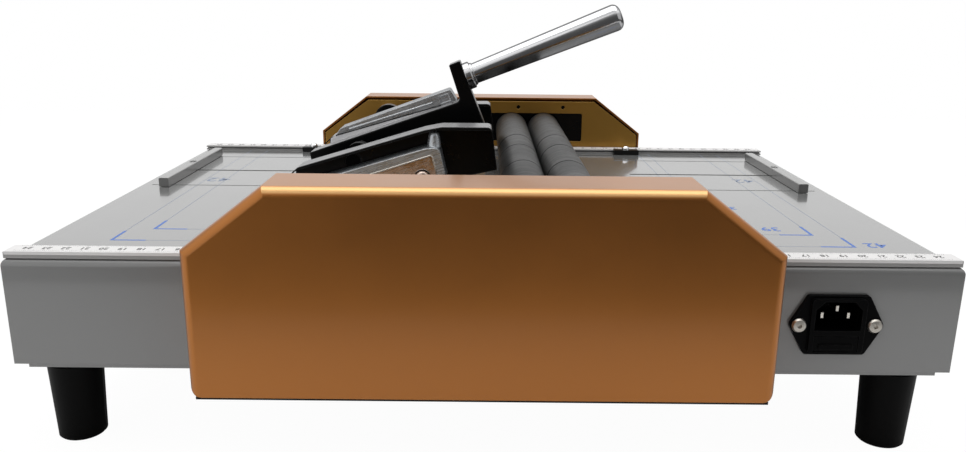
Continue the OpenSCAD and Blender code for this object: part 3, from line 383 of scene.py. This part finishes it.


# %% [markdown]
# The numbers come from looking hard at the machine. The table is grey enamel with a gloss that
# mirrors the stops. The covers are copper paint with fine flakes. The brackets are black, with a
# paler colour painted as a highlight where they look up. The stapler caps are satin zinc, and their
# magazines carry a copper tint painted in as a reflection of the covers. The handle is chrome.
# Rubber and moulded plastic stay dark and dull.

# %% Paints and plastics
# noise scales across fine lines and along them
LINE, SMOOTH = 2600.0, 30.0
finishes = {
    "grey_enamel": finish("grey enamel", (0.200, 0.202, 0.200), 0.24, drift=0.03, rough_drift=0.15,
                          edge=(0.40, 0.40, 0.39), edge_share=0.3, bump=0.00001, grain_scale=700,
                          coat=1.0, coat_rough=0.08, ior=1.6, corner=0.0005),
    "copper_cover": finish("copper paint", (0.43, 0.158, 0.0315), 0.34, metal=0.9, drift=0.05,
                           edge=(0.80, 0.42, 0.15), edge_share=0.35, bump=0.00001,
                           grain_scale=2600, coat=0.4, coat_rough=0.14, corner=0.0005),
    "gold_plate": finish("gold plate", (0.44, 0.235, 0.045), 0.36, metal=0.75, drift=0.06,
                         edge=(0.6, 0.40, 0.15), bump=0.00001, grain_scale=1800, coat=0.1,
                         corner=0.0004),
    # its paler colour on faces that look up is a painted highlight
    "black_gloss": finish("black gloss paint", (0.001, 0.001, 0.0012), 0.28, drift=0.2,
                          rough_drift=0.2, edge=(0.16, 0.16, 0.16), edge_share=0.3,
                          bump=0.00001, grain_scale=800, ior=1.4, corner=0.0018,
                          painted_top_light=(0.26, 0.26, 0.265), specular=0.3),
    "black_rubber": finish("moulded black rubber", (0.002, 0.002, 0.002), 0.5, drift=0.2,
                           edge=(0.012, 0.012, 0.012), bump=0.00004, grain_scale=1400, ior=1.3,
                           specular=0.2),
    # its dark bands along Y are painted shade in the grooves
    "roller_rubber": finish("ground roller rubber", (0.021, 0.021, 0.0205), 0.45, drift=0.12,
                            rough_drift=0.2, edge=(0.09, 0.09, 0.09), bump=0.00003, specular=0.3,
                            lines=(SMOOTH, LINE, SMOOTH), groove_shade_places=(0.045, 0.0, -0.062)),
    "rail_grey": finish("rail paint", (0.36, 0.355, 0.35), 0.35, metal=0.2, edge=(0.5, 0.5, 0.5),
                        corner=0.0004),
    "tape_white": finish("ruler tape", (0.84, 0.83, 0.825), 0.42, drift=0.03, bump=0.00001),
    "black_plastic": finish("black plastic", (0.001, 0.001, 0.0012), 0.36, drift=0.15, ior=1.35,
                            edge=(0.03, 0.03, 0.031), bump=0.00003, grain_scale=2200,
                            corner=0.0005, specular=0.1),
    # its paler colour on faces that look up is a painted highlight
    "stop_grey": finish("stop paint", (0.16, 0.16, 0.158), 0.34, metal=0.15, drift=0.08,
                        edge=(0.45, 0.45, 0.44), bump=0.00001, corner=0.0005, coat=0.6,
                        coat_rough=0.12, painted_top_light=(0.34, 0.34, 0.335)),
    "board_green": finish("circuit board lacquer", (0.01, 0.09, 0.03), 0.3, drift=0.2, coat=0.4),
    "rocker_red": finish("red switch plastic", (0.20, 0.008, 0.008), 0.28, edge=(0.4, 0.05, 0.05),
                         corner=0.0004),
    "button_green": finish("green button plastic", (0.02, 0.16, 0.035), 0.28, edge=(0.1, 0.4, 0.1),
                           corner=0.0004),
    "mark_blue": finish("blue print", (0.045, 0.15, 0.52), 0.4, drift=0.12),
    "mark_pale": finish("thin blue print", (0.20, 0.25, 0.36), 0.4, drift=0.1),
    "mark_black": finish("black print", (0.03, 0.03, 0.03), 0.45, drift=0.1),
    "mark_white": finish("white print", (0.75, 0.75, 0.74), 0.45, drift=0.05),
}
print(len(finishes), "paints and plastics")

# %% Metals
ARM_SLOPE = math.radians(19.2)
finishes |= {
    "nickel": finish("nickel plating", (0.70, 0.67, 0.61), 0.20, metal=1, edge=(0.85, 0.83, 0.8),
                     bump=0.00001, grain_scale=2200, corner=0.0004),
    "steel": finish("machined steel", (0.50, 0.50, 0.51), 0.26, metal=1, edge=(0.75, 0.75, 0.75),
                    bump=0.00001, lines=(SMOOTH, LINE, SMOOTH)),
    "zinc": finish("bright zinc plating", (0.58, 0.60, 0.62), 0.30, metal=0.8, drift=0.1,
                   rough_drift=0.4, edge=(0.75, 0.75, 0.75), edge_share=0.6, bump=0.00002,
                   cloud_scale=60, lines=(60.0, 900.0, 900.0), corner=0.0008, rim=0.4,
                   turn=ARM_SLOPE),
    "cap_zinc": finish("satin zinc plating", (0.56, 0.59, 0.62), 0.30, metal=0.7, drift=0.12,
                       edge=(0.9, 0.9, 0.9), edge_share=0.8, edge_width=0.0007, bump=0.00002,
                       cloud_scale=90, lines=(60.0, 900.0, 900.0), corner=0.0009,
                       turn=ARM_SLOPE),
    "screw_nickel": finish("worn nickel", (0.52, 0.49, 0.44), 0.36, metal=1, drift=0.15,
                           edge=(0.8, 0.78, 0.74), bump=0.00002, grain_scale=1600, corner=0.0004),
    # its copper tint is a painted reflection of the copper covers
    "magazine_painted_reflection": finish("drawn magazine steel", (0.74, 0.60, 0.52), 0.22, metal=0.95,
                             drift=0.16, rough_drift=0.5, edge=(0.9, 0.85, 0.8), bump=0.00004,
                             cloud_scale=160, lines=(90.0, 700.0, 700.0), corner=0.0006,
                             turn=ARM_SLOPE),
    "motor_zinc": finish("dull zinc plating", (0.42, 0.43, 0.44), 0.38, metal=1, drift=0.1,
                         edge=(0.7, 0.7, 0.7)),
    "handle_chrome": finish("polished chrome", (0.52, 0.52, 0.53), 0.13, metal=1, drift=0.03,
                            rough_drift=0.5, edge=(0.85, 0.85, 0.85), bump=0.000004,
                            cloud_scale=40, corner=0.0008, rim=0.1),
    "shaft_black": finish("blackened steel", (0.004, 0.004, 0.004), 0.45, ior=1.4,
                          lines=(SMOOTH, LINE, SMOOTH), bump=0.00001, specular=0.12),
}
print(len(finishes), "finishes")

# %% [markdown]
# A lay clamp is one solid with a black block and a chrome dome on it. One material can show both,
# because the dome starts where the block ends: a mask on the height turns paint into metal.

# %% Clamp finish
BLOCK_TOP, DOME_START = 0.11642, 0.11646


def paint_over(material, mask, colour):
    """Lays another colour over a finish where the mask is 1."""
    tree = material.node_tree
    base = tree.nodes["Principled BSDF"].inputs["Base Color"]
    tree.links.new(layer(tree, base.links[0].from_socket, mask, colour), base)


clamp_finish = finish("clamp block and dome", (0.004, 0.004, 0.0045), 0.32, drift=0.1, ior=1.4,
                      bump=0.00002, grain_scale=2200, corner=0.0004)
clamp_tree = clamp_finish.node_tree
clamp_shader = clamp_tree.nodes["Principled BSDF"]
dome = add(clamp_tree, "ShaderNodeMapRange", {"Value": axes(clamp_tree, "Object")["Z"]},
           {"From Min": BLOCK_TOP, "From Max": DOME_START}).outputs["Result"]
paint_over(clamp_finish, dome, (0.75, 0.75, 0.76))
clamp_tree.links.new(dome, clamp_shader.inputs["Metallic"])
block_rough = clamp_shader.inputs["Roughness"].links[0].from_socket
dome_rough = add(clamp_tree, "ShaderNodeMix", {"Factor": dome, "A": block_rough}, {"B": 0.12},
                 data_type="FLOAT")
clamp_tree.links.new(dome_rough.outputs["Result"], clamp_shader.inputs["Roughness"])
print("clamp's dome starts", round(1000 * BLOCK_TOP, 1), "mm up")

# %% [markdown]
# A pale line along the bend under a cover's top is a painted highlight. A mask finds that bend by
# its normals: neither level nor upright, and not turned to a side.

# %% Painted highlight on the covers' bend
cover_tree = finishes["copper_cover"].node_tree
cover_normal = axes(cover_tree, "Normal")
bend = masked_band(cover_tree, cover_normal["Z"], 0.70, 0.12, 0.22)
aside_amount = add(cover_tree, "ShaderNodeMath", {0: cover_normal["X"]}, operation="ABSOLUTE")
not_aside = add(cover_tree, "ShaderNodeMapRange", {"Value": aside_amount.outputs[0]},
                {"From Min": 0.35, "From Max": 0.15})
bend_highlight_mask = add(cover_tree, "ShaderNodeMath", {0: bend, 1: not_aside.outputs["Result"]},
           operation="MULTIPLY")
# painted highlight: a pale copper colour laid along the bend
paint_over(finishes["copper_cover"], bend_highlight_mask.outputs[0], (0.54, 0.31, 0.12))
print("copper paint has", len(cover_tree.nodes), "nodes")

# %% [markdown]
# The arm's far cheek stands up behind its top, and its face there is painted pale grey as a
# highlight. One mask picks the cheek's plane along Y, a second keeps only the faces that look
# along -Y.

# %% Arm finish
ARM_SHEET = 0.002
arm_finish = finishes["black_gloss"].copy()
arm_finish.name = "arm paint"
arm_tree = arm_finish.node_tree
cheek = masked_band(arm_tree, axes(arm_tree, "Object")["Y"],
                    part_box("lever_arm")[1][1] - ARM_SHEET, 0.0002)
arm_front = add(arm_tree, "ShaderNodeMapRange", {"Value": axes(arm_tree, "Normal")["Y"]},
                {"From Min": -0.5, "From Max": -0.9})
arm_painted_highlight = add(arm_tree, "ShaderNodeMath", {0: cheek, 1: arm_front.outputs["Result"]},
                 operation="MULTIPLY")
# painted highlight: pale grey on the cheek's face
paint_over(arm_finish, arm_painted_highlight.outputs[0], (0.80, 0.80, 0.81))
print("arm paint has", len(arm_tree.nodes), "nodes")

# %% [markdown]
# The record names a finish for each piece. A few pieces look different from the others of their
# finish, as a stapler's cap does from other zinc, and they get their own.

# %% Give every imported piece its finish
slots = {part["node"]: part["material_slot"] for part in frame["record"]["subparts"]}
special = {
    "near_stapler_cap": "cap_zinc", "far_stapler_cap": "cap_zinc",
    "near_stapler_magazine": "magazine_painted_reflection", "far_stapler_magazine": "magazine_painted_reflection",
    "inlet_screws": "screw_nickel"}
for node, piece in frame["nodes"].items():
    piece.data.materials.clear()
    piece.data.materials.append(finishes[special.get(node, slots[node])])
for node in ("left_lay_clamp", "right_lay_clamp"):
    frame["nodes"][node].data.materials[0] = clamp_finish
frame["nodes"]["lever_arm"].data.materials[0] = arm_finish
print(len(frame["nodes"]), "pieces finished")

# %% [markdown]
# The printed marks are real ink on real surfaces, a few hundredths of a millimetre thick. Each is
# its own thin mesh, so it can be seen edge on and moves with what carries it. A decal texture would
# need a picture, and this way the lines stay sharp at any distance.

# %% Helpers for new pieces
INK = 0.00003
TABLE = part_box("body_shell")[1][2]
tape_low, tape_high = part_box("ruler_tapes")
TAPE = tape_high[2]


def settle(piece, name, finish_name, body):
    """Names a finished piece, puts its place into its mesh, paints it and lets it ride."""
    bpy.ops.object.select_all(action="DESELECT")
    piece.select_set(True)
    bpy.context.view_layer.objects.active = piece
    bpy.ops.object.transform_apply(location=True, rotation=True, scale=True)
    piece.name = name
    piece.data.materials.clear()
    piece.data.materials.append(finishes[finish_name])
    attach(piece, body)
    piece.select_set(False)
    return piece


def joined(pieces):
    """Several meshes as one."""
    bpy.ops.object.select_all(action="DESELECT")
    for piece in pieces:
        piece.select_set(True)
    bpy.context.view_layer.objects.active = pieces[0]
    bpy.ops.object.join()
    return bpy.context.object


def sized(piece, size):
    """The new piece brought to its size, with the size put into its mesh."""
    piece.scale = size
    bpy.ops.object.transform_apply(location=False, rotation=False, scale=True)
    return piece


def block(size, place=(0, 0, 0)):
    """A block of the given size in metres, on its own in the selection."""
    bpy.ops.object.select_all(action="DESELECT")
    bpy.ops.mesh.primitive_cube_add(size=1, location=place)
    return sized(bpy.context.object, size)


def bar(low, high):
    """A block between two corners."""
    return block([b - a for a, b in zip(low, high)], [(a + b) / 2 for a, b in zip(low, high)])


def softened(piece, width, segments=2):
    """The piece with its edges rounded by a Bevel modifier."""
    edges = piece.modifiers.new("edges", "BEVEL")
    edges.width = width
    edges.segments = segments
    bpy.ops.object.modifier_apply(modifier="edges")
    return piece


def pressed_in(piece, axis, sign, rim, depth):
    """The piece with the faces that look along an axis inset by a rim and pushed in."""
    bpy.ops.object.mode_set(mode="EDIT")
    bpy.ops.mesh.select_all(action="DESELECT")
    bpy.ops.object.mode_set(mode="OBJECT")
    for face in piece.data.polygons:
        face.select = sign * face.normal[axis] > 0.9
    bpy.ops.object.mode_set(mode="EDIT")
    bpy.ops.mesh.select_mode(type="FACE")
    bpy.ops.mesh.inset(thickness=rim, depth=-depth)
    bpy.ops.object.mode_set(mode="OBJECT")
    return piece


print("table is", round(1000 * TABLE, 1), "mm up, the tapes", round(1000 * TAPE, 1))

# %% [markdown]
# A ruler tape has a line at each millimetre, a longer one at five and the longest at ten, along
# both of its edges. One line is modelled, and an Array modifier lays out the row.

# %% Ruler lines
TAPE_WIDTH, MARGIN = 0.0106, 0.0002
RULER_REACH = 245
LINE_KINDS = ((1, 1.0, 0.09), (5, 1.5, 0.11), (10, 2.1, 0.14))


def ruler_row(y_edge, inward, every, length, width):
    """A row of lines from the tape's edge inwards, one at every few millimetres of the ruler."""
    steps = RULER_REACH // every
    x0 = -every * MM * steps
    near, far = sorted((y_edge, y_edge + inward * length * MM))
    line = bar((x0 - width * MM / 2, near, TAPE), (x0 + width * MM / 2, far, TAPE + INK))
    row = line.modifiers.new("row", "ARRAY")
    row.count = 2 * steps + 1
    row.use_relative_offset = False
    row.use_constant_offset = True
    row.constant_offset_displace = (every * MM, 0, 0)
    bpy.ops.object.modifier_apply(modifier="row")
    return line


def ruler_lines(name, low_y, high_y):
    """All the lines of one tape."""
    rows = [ruler_row(y, inward, *kind)
            for y, inward in ((low_y + MARGIN, 1), (high_y - MARGIN, -1)) for kind in LINE_KINDS]
    return settle(joined(rows), name, "mark_black", "machine")


near_lines = ruler_lines("near_ruler_lines", tape_low[1], tape_low[1] + TAPE_WIDTH)
ruler_lines("far_ruler_lines", tape_high[1] - TAPE_WIDTH, tape_high[1])
print("near ruler has", len(near_lines.data.polygons) // 6, "lines")

# %% [markdown]
# The numbers are text turned into a mesh. They read from the operator's side, so from the inlet's
# side they stand on their heads. Each number is made once and copied to its places on both tapes.

# %% Ruler numbers
LAST_NUMBER = 24


def printed(word, size, heavier=0.0):
    """A flat text as a mesh at the origin, read from the operator's side."""
    bpy.ops.object.select_all(action="DESELECT")
    bpy.ops.object.text_add(location=(0, 0, 0))
    text = bpy.context.object
    text.data.body = word
    text.data.size = size
    text.data.align_x = "CENTER"
    text.data.align_y = "CENTER"
    text.data.extrude = INK / 2
    text.data.offset = heavier
    text.data.resolution_u = 3
    bpy.ops.object.convert(target="MESH")
    text = bpy.context.object
    text.rotation_euler = (0, 0, math.pi)
    bpy.ops.object.transform_apply(location=False, rotation=True, scale=False)
    return text


def twin(piece, place):
    """A copy with its own mesh at another place."""
    copy = piece.copy()
    copy.data = piece.data.copy()
    scene.collection.objects.link(copy)
    copy.location = place
    return copy


near_numbers, far_numbers = [], []
for count in range(LAST_NUMBER + 1):
    word = printed(str(count), 0.0050, 0.00012)
    for row, y in ((near_numbers, tape_low[1] + TAPE_WIDTH / 2),
                   (far_numbers, tape_high[1] - TAPE_WIDTH / 2)):
        # a set, so that the ruler's zero is printed once
        for x in {0.01 * count, -0.01 * count}:
            row.append(twin(word, (x, y, TAPE + INK / 2)))
    bpy.data.objects.remove(word)
near_numbers = settle(joined(near_numbers), "near_ruler_numbers", "mark_black", "machine")
settle(joined(far_numbers), "far_ruler_numbers", "mark_black", "machine")
print("numbers:", len(near_numbers.data.polygons), "faces a tape")

# %% [markdown]
# The corner marks show where a sheet's near corners go: two thick legs, and thin lines that run on
# to the lay edge. A mark starts as one small square, whose edges are pulled out into the two legs,
# and Solidify gives the ink its thickness. The thin lines stop at the grooves and the long slots.

# %% Corner marks
LEG, LEG_WIDTH = 0.020, 0.0017
# how near counts as the same place
NEAR = 1e-6


def corner_mark(name, x, y, side):
    """An L whose corner is at x, y, with one leg towards the middle and one to the lay edge."""
    bpy.ops.object.select_all(action="DESELECT")
    half = LEG_WIDTH / 2
    bpy.ops.mesh.primitive_plane_add(size=LEG_WIDTH, location=(x - side * half, y + half, TABLE))
    mark = bpy.context.object
    for axis, sign in ((0, -side), (1, 1)):
        bpy.ops.object.mode_set(mode="OBJECT")
        for vertex in mark.data.vertices:
            outermost = sign * vertex.co[axis] > half - NEAR
            vertex.select = outermost and abs(vertex.co[1 - axis]) < half + NEAR
        for edge in mark.data.edges:
            edge.select = all(mark.data.vertices[i].select for i in edge.vertices)
        for face in mark.data.polygons:
            face.select = False
        bpy.ops.object.mode_set(mode="EDIT")
        bpy.ops.mesh.select_mode(type="EDGE")
        pull = [0, 0, 0]
        pull[axis] = sign * (LEG - LEG_WIDTH)
        bpy.ops.mesh.extrude_edges_move(TRANSFORM_OT_translate={"value": pull})
    bpy.ops.mesh.select_all(action="SELECT")
    bpy.ops.mesh.normals_make_consistent(inside=False)
    bpy.ops.object.mode_set(mode="OBJECT")
    ink = mark.modifiers.new("ink", "SOLIDIFY")
    ink.thickness = INK
    ink.offset = 1 if mark.data.polygons[0].normal.z > 0 else -1
    bpy.ops.object.modifier_apply(modifier="ink")
    return settle(mark, name, "mark_blue", "machine")


# %% Thin sheet lines
HAIR = 0.00018
LAY_EDGE = 0.158
# where the grooves and the long slots interrupt the lines, as ranges of y
GAPS = ((0.0091, 0.0109), (0.0643, 0.0677), (0.1241, 0.1259))
INNER_END = 0.085


def thin_lines(name, x, y):
    """The thin lines that run on from both marks of one sheet size."""
    ends = [y + LEG] + [v for gap in GAPS for v in gap] + [LAY_EDGE]
    lines = []
    for side in (-1, 1):
        cx = side * (x - LEG_WIDTH / 2)
        for y0, y1 in zip(ends[::2], ends[1::2]):
            lines.append(bar((cx - HAIR, y0, TABLE), (cx + HAIR, y1, TABLE + INK)))
        x0, x1 = sorted((side * (x - LEG), side * INNER_END))
        cy = y + LEG_WIDTH / 2
        lines.append(bar((x0, cy - HAIR, TABLE), (x1, cy + HAIR, TABLE + INK)))
    return settle(joined(lines), name, "mark_pale", "machine")


sheets = {"wide": (0.210, -0.137), "middle": (0.195, -0.1125), "narrow": (0.1485, -0.050),
          "small": (0.139, -0.035)}
for size_name, (x, y) in sheets.items():
    corner_mark(size_name + "_mark_left", -x, y, -1)
    corner_mark(size_name + "_mark_right", x, y, 1)
    thin_lines(size_name + "_sheet_lines", x, y)
print(len(sheets), "sheet sizes marked, the widest", 2 * sheets["wide"][0], "metres long")

# %% [markdown]
# The right marks of the three larger sheets have a plain number beside them, the sheet's length in
# centimetres. Two more numbers stand further back on the table, in thinner ink.

# %% Sheet numbers
front_numbers = {
    "number_42_right": ("42", 0.2225, -0.132, 0.0125),
    "number_39_right": ("39", 0.1738, -0.0985, 0.012),
    "number_30_right": ("30", 0.1635, -0.0455, 0.010)}
back_numbers = {
    "number_42_back_right": ("42", 0.2, 0.044, 0.016),
    "number_42_back_left": ("42", -0.2, 0.031, 0.018)}
for numbers, ink_name in ((front_numbers, "mark_blue"), (back_numbers, "mark_pale")):
    for name, (word, x, y, size) in numbers.items():
        number = printed(word, size, 0.00015)
        number.location = (x, y, TABLE + INK / 2)
        settle(number, name, ink_name, "machine")
print(len(front_numbers) + len(back_numbers), "numbers on the table")

# %% [markdown]
# The magazine's rivet has a domed head, with a dark ring round it as painted shade at its foot.
# The head is half a ball, flattened, and the ring a thin torus. Both ride with their stapler.

# %% Rivet heads
RIVET_X, RIVET_HEIGHT = -0.039, 0.0232
RIVET_RADIUS, RIVET_DOME = 0.0043, 0.28
SMOOTH_ANGLE = math.radians(40)


def rivet(name, y, outward, body):
    """A domed rivet head facing -Y or +Y, and a dark ring round it as painted shade."""
    place = (RIVET_X, y, TABLE + RIVET_HEIGHT)
    bpy.ops.object.select_all(action="DESELECT")
    bpy.ops.mesh.primitive_uv_sphere_add(segments=32, ring_count=16, radius=RIVET_RADIUS,
                                         location=(0, 0, 0))
    head = bpy.context.object
    bpy.ops.object.mode_set(mode="EDIT")
    bpy.ops.mesh.select_all(action="SELECT")
    bpy.ops.mesh.bisect(plane_co=(0, 0, 0), plane_no=(0, 0, 1), use_fill=True, clear_inner=True)
    bpy.ops.mesh.select_all(action="SELECT")
    bpy.ops.transform.resize(value=(1, 1, RIVET_DOME))
    bpy.ops.object.mode_set(mode="OBJECT")
    bpy.ops.object.shade_smooth_by_angle(angle=SMOOTH_ANGLE)
    head.rotation_euler = (-outward * math.pi / 2, 0, 0)
    head.location = place
    settle(head, name + "_head", "magazine_painted_reflection", body)
    # the ring is a thin black torus that paints the shade round the head's foot
    bpy.ops.mesh.primitive_torus_add(major_radius=0.0050, minor_radius=0.0004, major_segments=48,
                                     minor_segments=10, location=place,
                                     rotation=(math.pi / 2, 0, 0))
    ring = bpy.context.object
    bpy.ops.object.shade_smooth()
    settle(ring, name + "_shade_ring", "shaft_black", body)


near_face, far_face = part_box("near_stapler_cap")[0][1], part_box("far_stapler_cap")[1][1]
rivet("near_rivet", near_face, -1, "near_stapler")
rivet("far_rivet", far_face, 1, "far_stapler")
print("rivets at", round(near_face, 4), "and", round(far_face, 4))

# %% [markdown]
# The lever's channel has a small folded tab at its upper end, with a dark slot in it. It is a block
# whose front face is inset and pushed back, with its edges broken by a Bevel modifier.

# %% Channel tab
TAB_SIZE = (0.0085, 0.0006, 0.0062)
TAB_PLACE = (-0.0285, 0.0159, TABLE + 0.0638)
SLOT_RIM, SLOT_DEPTH = 0.0012, 0.0003
tab = pressed_in(block(TAB_SIZE), 1, -1, SLOT_RIM, SLOT_DEPTH)
softened(tab, 0.00015)
tab.rotation_euler = (0, -ARM_SLOPE, 0)
tab.location = TAB_PLACE
settle(tab, "channel_tab", "zinc", "lever")
print("tab is", [round(1000 * v, 1) for v in tab.dimensions], "mm")

# %% [markdown]
# Folded sheet gets its stiffness from pressed ribs and turned edges, and each shows as a bright
# line. A strip is a block with all its edges rounded by a Bevel modifier, laid along the slope.

# %% Ribs and turned edges
ROUND_SHARE = 0.45


def strip(start, end, y, width, thick):
    """A rounded strip between two points given as x and height over the table, in millimetres."""
    run, rise = (end[0] - start[0]) * MM, (end[1] - start[1]) * MM
    piece = softened(block((math.hypot(run, rise), thick, width)), ROUND_SHARE * min(width, thick), 3)
    bpy.ops.object.shade_smooth_by_angle(angle=SMOOTH_ANGLE)
    piece.rotation_euler = (0, -math.atan2(rise, run), 0)
    piece.location = ((start[0] + end[0]) / 2 * MM, y, TABLE + (start[1] + end[1]) / 2 * MM)
    return piece


channel_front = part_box("lever_channel")[0][1]
upstand = strip((-107.5, 36.7), (-31, 59.4), channel_front - ARM_SHEET, 0.0006, 0.0005)
settle(upstand, "upstand_edge", "shaft_black", "lever")
rib = strip((-98, 41.2), (-37, 60.8), channel_front, 0.0016, 0.0012)
rib_length = rib.dimensions.x
settle(rib, "channel_rib", "zinc", "lever")
for name, y, body in (("near_cap_edge", near_face, "near_stapler"),
                      ("far_cap_edge", far_face, "far_stapler")):
    upper = strip((-99.5, 16.1), (-33.4, 37.7), y, 0.0009, 0.0008)
    lower = strip((-33.0, 37.4), (-28.4, 20.0), y, 0.0009, 0.0008)
    settle(joined([upper, lower]), name, "nickel", body)
print("rib is", round(1000 * rib_length), "mm long")

# %% [markdown]
# The near ruler's tape is wider than the rail's flat: it folds over the front edge. The fold is an
# L of two strips, and the Bevel modifier gives it its small radius.

# %% Folded edge of the near tape
FOLD_DROP, FOLD_THICK = 0.0015, 0.0002
rail_low, rail_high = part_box("near_ruler_rail")
hanging = bar((tape_low[0], rail_low[1] - FOLD_THICK, rail_high[2] - FOLD_DROP),
              (tape_high[0], rail_low[1], tape_high[2]))
lying = bar((tape_low[0], rail_low[1] - FOLD_THICK / 2, rail_high[2]),
            (tape_high[0], tape_low[1], tape_high[2]))
fold = softened(joined([hanging, lying]), 0.00012)
settle(fold, "near_tape_fold", "tape_white", "machine")
print("tape fold is", round(1000 * (tape_high[0] - tape_low[0])), "mm long")

# %% [markdown]
# Each stop has an oval slot round its screw, and a black oval piece paints the shade in it. The
# piece is a round plug drawn out along the stop, with a rim made by insetting its top face and
# pressing it down.

# %% Painted shade in the stop slots
WELL_SIZE = (0.0022, 0.0046, 0.0006)
WELL_RIM, WELL_DEPTH, WELL_SUNK = 0.0005, 0.0003, 0.0002
SCREW_Y = 0.066
for name in ("left_stop", "right_stop"):
    low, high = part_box(name)
    bpy.ops.object.select_all(action="DESELECT")
    # a black oval that paints the shade in the stop's screw slot
    bpy.ops.mesh.primitive_cylinder_add(vertices=48, radius=1, depth=1, location=(0, 0, 0))
    slot_shade = pressed_in(sized(bpy.context.object, WELL_SIZE), 2, 1, WELL_RIM, WELL_DEPTH)
    slot_shade.location = ((low[0] + high[0]) / 2, SCREW_Y, high[2] - WELL_SUNK)
    settle(slot_shade, name + "_slot_shade", "shaft_black", name)
print("wells", [round(1000 * v, 1) for v in slot_shade.dimensions], "mm")

# %% [markdown]
# The rocker switch carries the two plain signs for on and off, a bar and a ring. The ring lies on
# the half that stands out, so it is turned by that half's slope.

# %% Switch signs
ROCKER_SLOPE = math.radians(18)
ON_PLACE, OFF_PLACE = (-0.1962, 0.17404, 0.082), (-0.1855, 0.17573, 0.082)
on_sign = softened(block((0.0011, 0.0003, 0.0052)), 0.00012)
on_sign.location = ON_PLACE
settle(on_sign, "switch_on_sign", "mark_white", "rocker")
bpy.ops.mesh.primitive_torus_add(major_radius=0.0021, minor_radius=0.0005, major_segments=40,
                                 minor_segments=10, location=(0, 0, 0))
off_sign = sized(bpy.context.object, (1, 1, 0.35))
bpy.ops.object.shade_smooth()
off_sign.rotation_euler = (math.pi / 2, 0, ROCKER_SLOPE)
off_sign.location = OFF_PLACE
settle(off_sign, "switch_off_sign", "mark_white", "rocker")
print("signs on the rocker, the ring turned", round(math.degrees(ROCKER_SLOPE)), "degrees")
